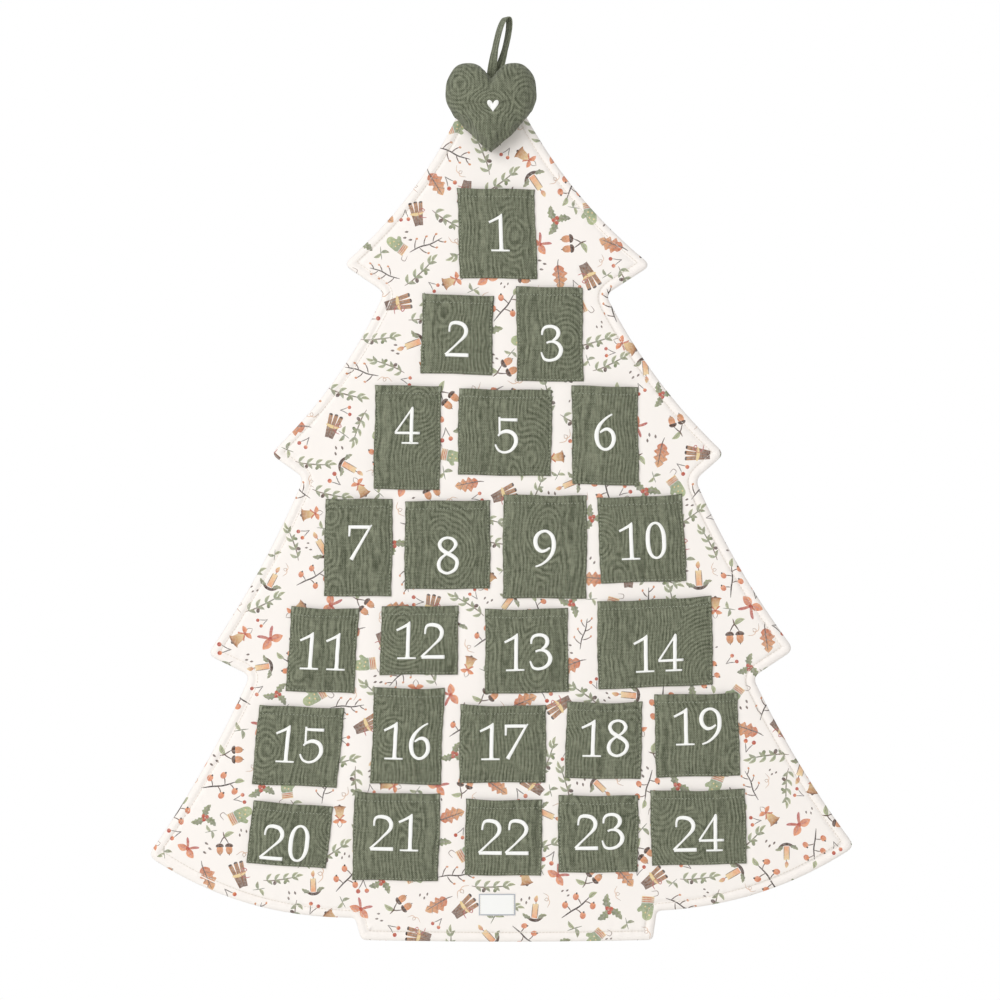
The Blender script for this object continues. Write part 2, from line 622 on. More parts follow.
def label_weave(size):
    """Damask-woven polyester label: smooth and a little glossy, with one woven line 0.9 mm wide
    just inside its edge."""
    material, tree = start_material("polyester label, damask woven")
    place = cloth_place(tree)
    sides = zip(add(tree, "SeparateXYZ", (place,)).outputs[:2], size)
    insets = [calc(tree, "SUBTRACT", length / 2, reach(tree, socket, length / 2))
              for socket, length in sides]
    off_line = reach(tree, calc(tree, "MINIMUM", *insets), 0.85 * MM)
    line = add(tree, "MapRange", (off_line, 0.4 * MM, 0.6 * MM, 1.0, 0.0))
    weave = plain_weave(tree, place, 0.5 * MM)
    ground = shaded(tree, colours().label, weave, 0.0, 1.0, 0.95)
    colour = mixed(tree, line, ground, (*colours().label_border, 1))
    finish_material(tree, colour, weave, 0.4, 0.12 * MM, Roughness=0.55, Sheen_Weight=0.1)
    return material


def loose_filling(name):
    """Carded polyester fibre: white, matt and fluffy."""
    material, tree = start_material(name)
    fluff = noise(tree, add(tree, "TexCoord").outputs["Object"], 160.0, 5.0, 0.7)
    finish_material(tree, shaded(tree, colours().filling, fluff, 0.2, 0.8, 0.85), fluff, 0.8,
                    0.8 * MM, Roughness=1.0, Sheen_Weight=0.4)
    return material


def finish_of(name, make, *arguments):
    """A material by its name, made the first time it is asked for."""
    return bpy.data.materials.get(name) or make(name, *arguments)


def canvas_finish():
    """The canvas of pockets, heart and loop."""
    return finish_of("sage canvas, plain woven", sage_canvas)


def thread_finish(shade):
    """Sewing thread in cream or green."""
    return finish_of(f"polyester thread, {shade}", sewing_thread,
                     getattr(colours(), f"{shade}_thread"))


def satin_finish():
    """The white thread of numerals and emblem."""
    return finish_of("rayon thread, satin stitched", satin_thread)


# The tree's outline and the height of its cloth

def quadratic(a, b, c, t):
    """Points of a quadratic curve from a towards b to c."""
    t = np.asarray(t, float)[:, None]
    return a * (1 - t) ** 2 + 2 * b * t * (1 - t) + c * t**2


def tree_outline(inset):
    """The tree's outline drawn in by a distance, as points anticlockwise from the front. Corners
    move along their mitres, each edge bows as one quadratic curve, and each corner is a quadratic
    curve between its two trimmed edges."""
    kinds = [kind for kind, *_ in CORNERS]
    at = np.array([(TREE_AXIS_X + across * TREE_WIDTH, TREE_TOP - down * TREE_HEIGHT)
                   for _, across, down, _ in CORNERS])
    bow = np.array([row[3] for row in CORNERS])[:, None]
    rounding = np.array([CORNER_ROUND[kind] for kind in kinds])
    out = unit(np.roll(at, -1, 0) - at)
    into = np.roll(out, 1, 0)
    grip = 1 + (into * out).sum(1)
    inward = np.stack([-into[:, 1] - out[:, 1], into[:, 0] + out[:, 0]], 1)
    moved = at + inward * (inset / grip)[:, None]
    turn = (into[:, 0] * out[:, 1] - into[:, 1] * out[:, 0]) * inset / grip
    trim = np.maximum(rounding - turn, rounding * 0.05)
    following = np.roll(moved, -1, 0)
    chord = following - moved
    length = np.linalg.norm(chord, axis=1)
    middle = moved + chord / 2 + np.stack([chord[:, 1], -chord[:, 0]], 1) * 2 * bow
    start = trim / length
    stop = 1 - np.roll(trim, -1) / length
    spans = np.linalg.norm(np.roll(at, -1, 0) - at, axis=1)
    points = []
    for i in range(len(at)):
        last = quadratic(moved[i - 1], middle[i - 1], following[i - 1], [stop[i - 1]])[0]
        first = quadratic(moved[i], middle[i], following[i], [start[i]])[0]
        points.append(quadratic(last, moved[i], first, np.arange(BEND_STEPS + 1) / BEND_STEPS))
        inner = max(2, round(spans[i] / EDGE_STEP))
        t = start[i] + (stop[i] - start[i]) * np.arange(1, inner) / inner
        points.append(quadratic(moved[i], middle[i], following[i], t))
    return np.vstack(points)


RIM = tree_outline(0)
RIM_ENDS = np.roll(RIM, -1, 0)
RIM_SPANS = np.linalg.norm(RIM_ENDS - RIM, axis=1)
RIM_RUN = np.concatenate([[0], np.cumsum(RIM_SPANS)[:-1]])


def rim_place(points):
    """How far in from the tree's edge each point lies, and how far along the edge."""
    gap, index, share = nearest(points, RIM, RIM_ENDS)
    return gap, RIM_RUN[index] + share * RIM_SPANS[index]


def field_height(points, seams):
    """Height of the padded field over the middle plane: its half thickness, soft waves 75 to
    250 mm long, and where seams is given the dip that the pockets' seams pull in."""
    x, z = points.T
    waves = (np.sin(x / 0.021 + 1.4 * np.sin(z / 0.05)) * np.cos(z / 0.027 + 0.8)
             + 0.7 * np.sin(z / 0.016 - x / 0.037) + 0.6 * np.sin(x / 0.012 + z / 0.04 + 2))
    height = FIELD_HALF + sizes().waves * waves / 2.3 * 0.8
    if seams is not None:
        gap, _, _ = nearest(points, *seams)
        height -= sizes().seam_dip * bell(gap / (5 * MM))
    return height


def cover_height(points, seams):
    """Height of a cover over the middle plane: a quarter round from the seam up to the roll's
    crest, down by a cosine into the topstitch's channel, up again to the field, with puckers
    that run across the channel and fade away from it."""
    gap, run = rim_place(points)
    crest = SEAM_HALF + (ROLL_HALF - SEAM_HALF) * dome(gap / ROLL_INSET)
    down = (gap - ROLL_INSET) / (CHANNEL_INSET - ROLL_INSET)
    up = (gap - CHANNEL_INSET) / (FIELD_INSET - CHANNEL_INSET)
    height = crest + (CHANNEL_HALF - ROLL_HALF) * ease(down)
    field = field_height(points, seams)
    height = height + (field - CHANNEL_HALF) * dome(up)
    pitch, start, reach_in = 11 * MM, 4 * MM, 7 * MM
    wander = 1.7 * np.sin(run / 0.031) + 1.1 * np.sin(run / 0.013)
    pucker = np.sin(run * TAU / pitch + wander) * (0.7 + 0.3 * np.sin(run / 0.019))
    fade = ease(gap / start) * bell((gap - CHANNEL_INSET) / reach_in)
    return height + sizes().pucker * pucker * fade


def triangulate(loop, insets, spacing, shapes=()):
    """Fills a closed loop with triangles whose edges follow the loop, rings drawn in from the
    tree's edge, and the outlines of the printed shapes; a hexagonal grid fills the middle.
    Returns points, triangles, the topmost shape on each or -1, and the loop's own points."""
    rings = [tree_outline(inset) for inset in insets]
    (left, low), (right, high) = loop.min(0), loop.max(0)
    rows = np.arange(low, high, spacing * math.sqrt(3) / 2)
    columns = np.arange(left, right, spacing)
    x, z = np.meshgrid(columns, rows)
    x = x + (np.arange(len(rows)) % 2)[:, None] * spacing / 2
    grid = np.stack([x.ravel(), z.ravel()], 1)
    gap, _ = rim_place(grid)
    grid = grid[inside(grid, loop) & (gap > insets[-1] + spacing / 2)]
    chains = [loop, *rings, *shapes]
    first = np.cumsum([0] + [len(chain) for chain in chains])
    spans = [np.arange(a, b) for a, b in zip(first[:-1], first[1:])]
    edges = [(int(a), int(b)) for span in spans[1:len(rings) + 1]
             for a, b in zip(span, np.roll(span, -1))]
    faces = [span.tolist() for span in [spans[0], *spans[len(rings) + 1:]]]
    flat = np.vstack([*chains, grid])
    points, _, triangles, origins, _, owners = geometry.delaunay_2d_cdt(
        [Vector(p) for p in flat.tolist()], edges, faces, 1, 1e-6, True)
    kept = [(t, max(owner) - 1) for t, owner in zip(triangles, owners) if 0 in owner]
    place = {k: i for i, origin in enumerate(origins) for k in origin if k < len(loop)}
    return (np.array([p[:] for p in points]), np.array([t for t, _ in kept]),
            np.array([top for _, top in kept]), np.array([place[k] for k in range(len(loop))]))


def inside(points, loop):
    """Which points lie inside a closed loop: those from which a level line to the right crosses
    it an odd number of times."""
    hits = np.zeros(len(points), int)
    ends = np.roll(loop, -1, 0)
    for block in np.array_split(np.arange(len(points)), len(points) // BLOCK + 1):
        x, z = points[block, 0, None], points[block, 1, None]
        across = (loop[:, 1] > z) != (ends[:, 1] > z)
        rise = np.where(across, ends[:, 1] - loop[:, 1], 1)
        meet = loop[:, 0] + (z - loop[:, 1]) / rise * (ends[:, 0] - loop[:, 0])
        hits[block] = (across & (x < meet)).sum(1)
    return hits % 2 == 1


def border(triangles):
    """The outer edge of a triangulation as point numbers in order."""
    edges = np.concatenate([triangles[:, [0, 1]], triangles[:, [1, 2]], triangles[:, [2, 0]]])
    known = set(map(tuple, edges.tolist()))
    following = {a: b for a, b in known if (b, a) not in known}
    chain = [next(iter(following))]
    while following[chain[-1]] != chain[0]:
        chain.append(following[chain[-1]])
    return np.array(chain)


def cover_layer(loop, insets, spacing, seams, side, inward=0.0, least=SEAM_HALF, rim=SEAM_HALF):
    """One face of a cover or of the wadding as (points in space, triangles, edge): it lies inward
    of the cover's height, at least by a least height off the middle plane, and its edge at rim."""
    flat, triangles, _, edge = triangulate(loop, insets, spacing)
    height = np.maximum(cover_height(flat, seams) - inward, least)
    height[edge] = rim
    return stand(flat, side * height), triangles, edge


def close_up(name, slot, material, outer, inner, replaces, ink=None):
    """Joins two triangulations that share their edge into one closed piece. Each is (points in
    space, triangles, edge); the inner one's edge points give way to the outer's."""
    points = np.vstack([outer[0], inner[0]])
    number = np.arange(len(inner[0])) + len(outer[0])
    number[inner[2]] = outer[2]
    triangles = np.vstack([outer[1], number[inner[1]]])
    used, triangles = np.unique(triangles, return_inverse=True)
    triangles = triangles.reshape(-1, 3)
    points = points[used]
    obj = build(name, "tree", material, points, triangles, uv=points[:, [0, 2]],
                replaces=replaces)
    if ink is not None:
        bare = np.tile([1.0, 1, 1, 0], (len(triangles) - len(ink), 3, 1))
        paint(obj.data, triangles, np.vstack([ink, bare]))
    return obj


def paint(mesh, triangles, ink):
    """Stores each triangle's corner colours as the attribute ink; the faces may have been turned,
    so each corner finds its colour by its point."""
    layer = mesh.color_attributes.new("ink", "FLOAT_COLOR", "CORNER")
    index = np.empty(len(mesh.loops), int)
    mesh.loops.foreach_get("vertex_index", index)
    match = index.reshape(-1, 3)[:, :, None] == triangles[:, None, :]
    values = (match[..., None] * ink[:, None]).sum(2)
    layer.data.foreach_set("color", values.ravel())


# The print: each motif is a list of (outline, lower colour, upper colour, strength) in millimetres

def disc(x, y, across, up, count=12):
    """An ellipse about a point with its two radii."""
    t = np.arange(count) * TAU / count
    return np.stack([x + across * np.cos(t), y + up * np.sin(t)], 1)


def pen(points, width, steps=4):
    """A drawn line: the band round a smooth path, its half width falling to a third at its ends."""
    path = smooth_path(points, steps)
    share = np.linspace(-1, 1, len(path))[:, None]
    half = width * 0.68 * (1 - 0.65 * np.abs(share) ** 3)
    side = unit(np.gradient(path, axis=0))[:, ::-1] * (-1, 1)
    return np.vstack([path + side * half, (path - side * half)[::-1]])


def blade(base, tip, width, lobes=0, depth=0.0, bend=0.12, count=11):
    """A leaf from its base to its tip: half its width is the sine of the share of its length to a
    power, cut back by lobes; its rib bends to one side as a parabola."""
    base, tip = np.array(base, float), np.array(tip, float)
    count = max(count, 5 * lobes)
    t = np.linspace(0, 1, count)[:, None]
    along = tip - base
    side = np.array([-along[1], along[0]]) / np.linalg.norm(along)
    rib = base + along * t + side * np.linalg.norm(along) * bend * 4 * t * (1 - t)
    half = width / 2 * np.sin(math.pi * t**0.85) ** 0.8
    half = half * (1 - depth * (0.5 + 0.5 * np.cos(TAU * lobes * t)) * np.sin(math.pi * t))
    return np.vstack([rib + side * half, (rib - side * half)[1:-1][::-1]])


def veined(base, tip, width, low, high, lobes=0, depth=0.0, bend=0.12):
    """A leaf blade and its rib."""
    a, b = np.array(base, float), np.array(tip, float)
    side = np.array([-(b - a)[1], (b - a)[0]])
    rib = [a, (a + b) / 2 + side * bend, a + (b - a) * 0.92 + side * bend * 0.3]
    return [(blade(base, tip, width, lobes, depth, bend), low, high, 0.9),
            (pen(rib, 0.55, 3), "fir" if low != "rust" else "bark", "umber", 0.8)]


def holly():
    """Three toothed leaves and three berries."""
    leaves = [((0, 0), (15, 5)), ((0, 0), (-14, 7)), ((0, -1), (2, -15))]
    shapes = [s for base, tip in leaves for s in veined(base, tip, 8.5, "fir", "olive", 4, 0.42)]
    berries = ((0.5, 2), (2.6, -1.4), (-2, -1))
    return shapes + [(disc(x, y, 2.1, 2.1), "berry", "rust", 1) for x, y in berries]


def oak_leaf():
    """One lobed autumn leaf with its stalk and side veins."""
    shapes = [(blade((0, -12), (1, 14), 17, 4, 0.5, 0.05), "rust", "tan", 0.95)]
    shapes.append((pen([(-1.5, -18), (0, -12), (0.6, 0), (1, 12)], 0.9), "bark", "umber", 0.9))
    for y in (-7, -1, 5):
        for vein in ([(0.3, y), (3, y + 3), (5, y + 4.4)], [(0.2, y), (-3, y + 3), (-5, y + 4.2)]):
            shapes.append((pen(vein, 0.5, 3), "umber", "umber", 0.8))
    return shapes


def acorns():
    """Two acorns on one stalk with a leaf."""
    shapes = veined((0, 9), (11, 14), 5, "olive", "pale olive")
    for side in (-1, 1):
        stalk = [(side * 4.8, 2), (side * 2, 7), (0, 10), (-1, 15)]
        shapes.append((pen(stalk, 0.9), "bark", "umber", 1))
        shapes.append((disc(side * 5, -4.2, 3.6, 5.4), "toffee", "apricot", 0.95))
        cap = disc(side * 5, -0.6, 4.4, 3.2)
        cap[:, 1] = np.maximum(cap[:, 1], -1.4)
        shapes.append((cap, "bark", "umber", 1))
        shapes.append((disc(side * 5, -9.8, 0.5, 0.9, 8), "bark", "bark", 1))
    return shapes


def olive_branch():
    """A bent stem with paired slender leaves and two fruits."""
    stem = np.array([(-17, -9), (-9, -5.5), (-1, -0.5), (7, 5), (15, 11)])
    shapes = [(pen(stem, 1.0), "umber", "fir", 0.9)]
    for k, (x, y) in enumerate(stem[:-1] * 0.55 + stem[1:] * 0.45):
        for side, reach in ((1, 9.5), (-1, 8)):
            angle = math.radians(34 + side * (46 - 5 * k))
            tip = (x + reach * math.cos(angle), y + reach * math.sin(angle))
            shapes += veined((x, y), tip, 3.4, "sage", "pale olive" if side > 0 else "olive")
    shapes += veined((14, 10), (21, 16), 3.2, "olive", "pale olive")
    return shapes + [(disc(-4, -6, 1.9, 2.5, 10), "bark", "umber", 0.95),
                     (disc(6, 0, 1.8, 2.4, 10), "fir", "olive", 0.95)]


def rosehips():
    """A dark twig that carries four hips."""
    shapes = [(pen([(-13, -12), (-5, -4), (3, 3), (11, 14)], 1.1), "bark", "bark", 1)]
    for x, y, u, v in ((-5, -4, -12, 1), (-1, -1, 7, -6), (4, 4, -3, 11), (7, 8, 15, 5)):
        stalk = [(x, y), ((x + u) / 2, (y + v) / 2 + 1), (u, v)]
        shapes.append((pen(stalk, 0.75, 3), "bark", "umber", 1))
        shapes.append((disc(u, v, 2.9, 3.5, 14), "rust", "apricot", 0.95))
        shapes.append((disc(u + 0.3, v + 3.3, 0.9, 1.1, 8), "bark", "bark", 1))
    return shapes + veined((10, 12), (17, 19), 4.6, "olive", "pale olive")


def little_bell():
    """A bell with a rim, a clapper, a bow and a thread to hang it by."""
    half = smooth_path([(6.8, -8), (5.2, -5.6), (4.3, -1), (3.6, 3), (0.9, 5.6)], 4)
    body = np.vstack([half, half[::-1] * (-1, 1)])
    shapes = [(disc(0, -9, 1.7, 1.9), "bark", "umber", 1), (body, "toffee", "straw", 0.95)]
    shapes.append((pen([(-7.2, -8), (0, -8.7), (7.2, -8)], 1.3, 4), "umber", "toffee", 1))
    for side in (-1, 1):
        shapes.append((pen([(0, 6), (side * 2.6, 11), (0, 15)], 0.55, 3), "umber", "umber", 0.8))
        ribbon, end = (side * 8, 8.5), [(0, 6), (side * 3.5, 2), (side * 5.5, 1)]
        shapes.append((blade((0, 6), ribbon, 4.6, bend=side * 0.1), "rust", "apricot", 0.95))
        shapes.append((pen(end, 1.2, 3), "rust", "rust", 0.95))
    return shapes + [(disc(0, 6.2, 1.4, 1.3, 10), "berry", "rust", 1)]


def cinnamon():
    """Three bark sticks tied with a cord."""
    shapes = []
    for tilt, shift in ((-7, -4.2), (2, 0), (9, 4.3)):
        a = math.radians(tilt)
        box = np.array([(-2.1, -13), (2.1, -13), (2.1, 13), (-2.1, 13)]) + (shift, 0)
        turned = box @ np.array([[math.cos(a), -math.sin(a)], [math.sin(a), math.cos(a)]])
        shapes.append((turned, "umber", "toffee", 0.95))
        top = turned[2:].mean(0)
        shapes.append((disc(*top, 2.0, 1.1, 10), "bark", "bark", 1))
        crack = [turned[:2].mean(0), turned.mean(0), top]
        shapes.append((pen(crack, 0.5, 3), "bark", "bark", 0.8))
    shapes.append((pen([(-7.5, 0.5), (0, -0.6), (7.5, 0.8)], 2.6, 4), "straw", "straw", 1))
    for path in ([(1, 0), (6, 5), (9, 2), (1.5, 0.5)], [(1, 0), (5, -5), (10, -6)]):
        shapes.append((pen(path, 0.7, 4), "berry", "berry", 0.9))
    return shapes


def mitten():
    """A mitten with a striped cuff."""
    hand = smooth_path([(-5.5, -5), (-6.2, 3), (-4.6, 10), (0, 12.6), (4.2, 10), (5.2, 3.5),
                        (8.6, 4.4), (10, 1.4), (6.4, -2.6), (5.2, -5), (-5.5, -5)], 4)[:-1]
    cuff = np.array([(-6.6, -12), (6, -12), (6.2, -5), (-6.6, -5)], float)
    shapes = [(hand, "sage", "pale olive", 0.95), (cuff, "straw", "mist", 0.95)]
    for y in (-10.4, -8.4, -6.4):
        shapes.append((pen([(-6.4, y), (0, y - 0.3), (6, y)], 0.9, 3), "rust", "rust", 0.9))
    for x, y in ((-2, 0), (1.5, 4.5), (-2.5, 7), (2, -1.6)):
        shapes.append((disc(x, y, 0.9, 0.9, 8), "straw", "straw", 1))
    cord = [(-5.5, -12), (-10, -14), (-9, -18), (-3, -17)]
    return shapes + [(pen(cord, 0.6), "umber", "umber", 0.8)]


def candle():
    """A lit candle in a dish with two leaves."""
    body = np.array([(-3, -9), (3, -9), (3, 6), (1.2, 6.8), (-1, 5.8), (-3, 6.4)], float)
    shapes = [(body, "apricot", "straw", 0.9)]
    shapes += [(pen([(x, -9), (x, -2), (x, 6)], 0.6, 3), "umber", "umber", 0.85) for x in (-3, 3)]
    shapes.append((pen([(0, 6), (0.3, 7.4), (0, 9)], 0.6, 3), "bark", "bark", 1))
    shapes.append((blade((0, 8), (0.6, 15.5), 4.2, bend=0.06), "rust", "straw", 0.95))
    shapes.append((pen([(-8.5, -8), (-3, -11), (3, -11), (8.5, -8)], 2.4, 4), "bark", "umber", 1))
    shapes += veined((-4, -9), (-13, -5), 5, "fir", "olive", 3, 0.35)
    return shapes + veined((4, -9), (13, -4.5), 5, "fir", "olive", 3, 0.35)


def budded_twig():
    """A bare winter twig with buds on short side shoots."""
    shapes = [(pen([(0, -18), (-0.8, -6), (1, 5), (0, 18)], 1.0), "bark", "bark", 1)]
    for k in range(6):
        y, side = -12 + 5 * k, 1 if k % 2 else -1
        reach = 9.5 - 0.9 * k
        shoot = [(0, y), (side * reach * 0.55, y + 2.2), (side * reach, y + 5.5)]
        shapes.append((pen(shoot, 0.8, 3), "bark", "umber", 1))
        shapes.append((disc(side * reach, y + 6.2, 1.1, 1.5, 8), "rust", "tan", 0.95))
    return shapes


def ribbon_bow():
    """A ribbon tied in a bow."""
    shapes = []
    for side in (-1, 1):
        tail = [(0, 0), (side * 5, -6), (side * 9, -9.5)]
        fold = [(side, 0.2), (side * 5, 2.4), (side * 9, 3)]
        shapes.append((pen(tail, 2.2, 4), "berry", "rust", 0.9))
        shapes.append((blade((0, 0), (side * 12, 4), 8, bend=side * 0.06), "rust", "apricot", 0.92))
        shapes.append((pen(fold, 0.6, 3), "berry", "berry", 0.8))
    return shapes + [(disc(0, 0, 2.2, 2.4), "berry", "rust", 1)]


def leaf_pair():
    """Two small leaves on a thread of stem."""
    return [(pen([(-6, -3), (0, 0), (5, 3)], 0.6, 3), "fir", "fir", 0.9),
            *veined((0, 0), (6, -5), 3.2, "olive", "pale olive"),
            *veined((-1, -0.4), (-4, 7), 3.2, "sage", "olive")]


def berry_pair():
    """Two berries on a forked stalk."""
    return [(pen([(-3.5, -2), (-1, 3), (0, 7)], 0.6, 3), "bark", "bark", 0.9),
            (pen([(3.5, -1), (1.5, 3), (0, 7)], 0.6, 3), "bark", "bark", 0.9),
            (disc(-3.6, -3.6, 1.9, 1.9), "berry", "rust", 1),
            (disc(3.7, -2.6, 1.9, 1.9), "berry", "apricot", 1)]


def thread_curl():
    """A loose curl of thread."""
    turns = ([(-7, -2), (-3, 2.5), (1.5, 1), (0, -2)], [(0, -2), (-1.5, 1), (3, 3), (8, 0)])
    return [(pen(path, 0.55), "umber", "tan", 0.7) for path in turns]


def seeds():
    """Three dark seeds."""
    return [(blade((x, y), (x + 1.6, y + 3), 1.7, bend=0), "bark", "umber", 0.9)
            for x, y in ((-4, -2), (0, 1), (3.4, -3))]


LARGE_MOTIFS = (holly, oak_leaf, budded_twig, olive_branch, little_bell, rosehips, acorns, mitten,
                cinnamon, olive_branch, candle, ribbon_bow)
SMALL_MOTIFS = (leaf_pair, berry_pair, thread_curl, seeds)


def anticlockwise(outline):
    """A closed outline that starts at its lowest point and turns left there."""
    outline = np.roll(outline, -outline[:, 1].argmin(), 0)
    (a, b), (c, d) = outline[0] - outline[-1], outline[1] - outline[0]
    return outline if a * d > b * c else np.roll(outline[::-1], 1, 0)


def lay_out(shapes, at, angle, size):
    """A motif's outlines in metres, turned and scaled about a place."""
    turn = np.array([[math.cos(angle), math.sin(angle)], [-math.sin(angle), math.cos(angle)]])
    return [shape[0] * size * MM @ turn + at for shape in shapes]


def scatter_print(covered):
    """Lays large motifs out on a hexagonal grid and then small ones between them. Each is tried
    at several places and turns drawn from one seed and takes the one furthest from those already
    laid; what pockets cover is left out. Returns the outlines in metres, and for each its two
    colours, strength and the foot and axis of its shading."""
    random = np.random.default_rng(sizes().print_seed)
    step = sizes().motif_spacing
    rise = step * 0.86
    (left, low), (right, high) = RIM.min(0), RIM.max(0)
    taken = np.zeros((0, 2))
    outlines, looks = [], []
    for kinds, wander, tries, room in ((LARGE_MOTIFS, 0.22, 14, 0.5 * MM),
                                       (SMALL_MOTIFS, 0.4, 24, 1.6 * MM)):
        large = kinds is LARGE_MOTIFS
        row, column = np.indices((int((high - low) / rise) + 2, int((right - left) / step) + 2))
        shift = 0.5 * (row % 2) - (0.5 if large else 0)
        slots = np.stack([left + (column + shift) * step, low + row * rise], -1).reshape(-1, 2)
        picks = ((5 * row + 7 * column + row // 2) % len(kinds)).ravel()
        near = (rim_place(slots)[0] < 14 * MM) | inside(slots, RIM)
        for slot, pick in zip(slots[near], picks[near]):
            shapes = kinds[pick]()
            close = taken[np.abs(taken - slot).max(1) < 1.6 * step]
            best = (-1.0, None)
            for _ in range(tries):
                at = slot + random.uniform(-wander, wander, 2) * step
                angle = random.uniform(0, TAU)
                size = random.uniform(0.88, 1.04) if large else random.uniform(0.9, 1.25)
                placed = lay_out(shapes, at, angle, size)
                sparse = np.vstack(placed)[::3]
                gap = np.linalg.norm(sparse[:, None] - close, axis=2).min() if len(close) else step
                if gap > best[0]:
                    best = (gap, placed, at, angle, size)
            if best[0] < room:
                continue
            _, placed, at, angle, size = best
            taken = np.vstack([taken, np.vstack(placed)[::2]])
            for (outline, low_ink, high_ink, strength), points in zip(shapes, placed):
                if covered(points).all():
                    continue
                foot, head = outline[:, 1].min(), outline[:, 1].max()
                axis = np.array([(0, foot), (0, head)])
                start, end = lay_out([(axis,)], at, angle, size)[0]
                outlines.append(anticlockwise(points))
                looks.append((*linear(INKS[low_ink]), *linear(INKS[high_ink]), strength, *start,
                              *(end - start)))
    return outlines, np.array(looks)


def ink_of(points, triangles, top, looks):
    """Corner colours of the triangles: between the shape's lower and upper colour by how far
    along its axis the corner lies, and no ink where no shape is."""
    look = looks[np.maximum(top, 0)][:, None]
    corner = points[triangles]
    axis = look[..., 9:11]
    share = ((corner - look[..., 7:9]) * axis).sum(2) / (axis**2).sum(2)
    share = np.clip(share, 0, 1)[..., None]
    colour = look[..., 0:3] * (1 - share) + look[..., 3:6] * share
    strength = np.where(top[:, None, None] >= 0, look[..., 6:7], 0)
    return np.concatenate([colour, np.broadcast_to(strength, share.shape)], 2)


def ringed(u, v, rings):
    """A field whose even contours ring some places and meet softly between them. For each place,
    given in millimetres as right, up, stretch and start, the distance from it is taken, shorter
    upwards by its stretch and never less than 6 mm, plus its start; the field is their soft least,
    minus the log of the sum of exponentials."""
    least, softness = 6, 1.2
    reaches = [start + np.sqrt((u / MM - a) ** 2 + ((v / MM - b) / stretch) ** 2 + least**2)
               for a, b, stretch, start in rings]
    return -softness * MM * np.log(sum(np.exp(-far / softness) for far in reaches))


# Pockets

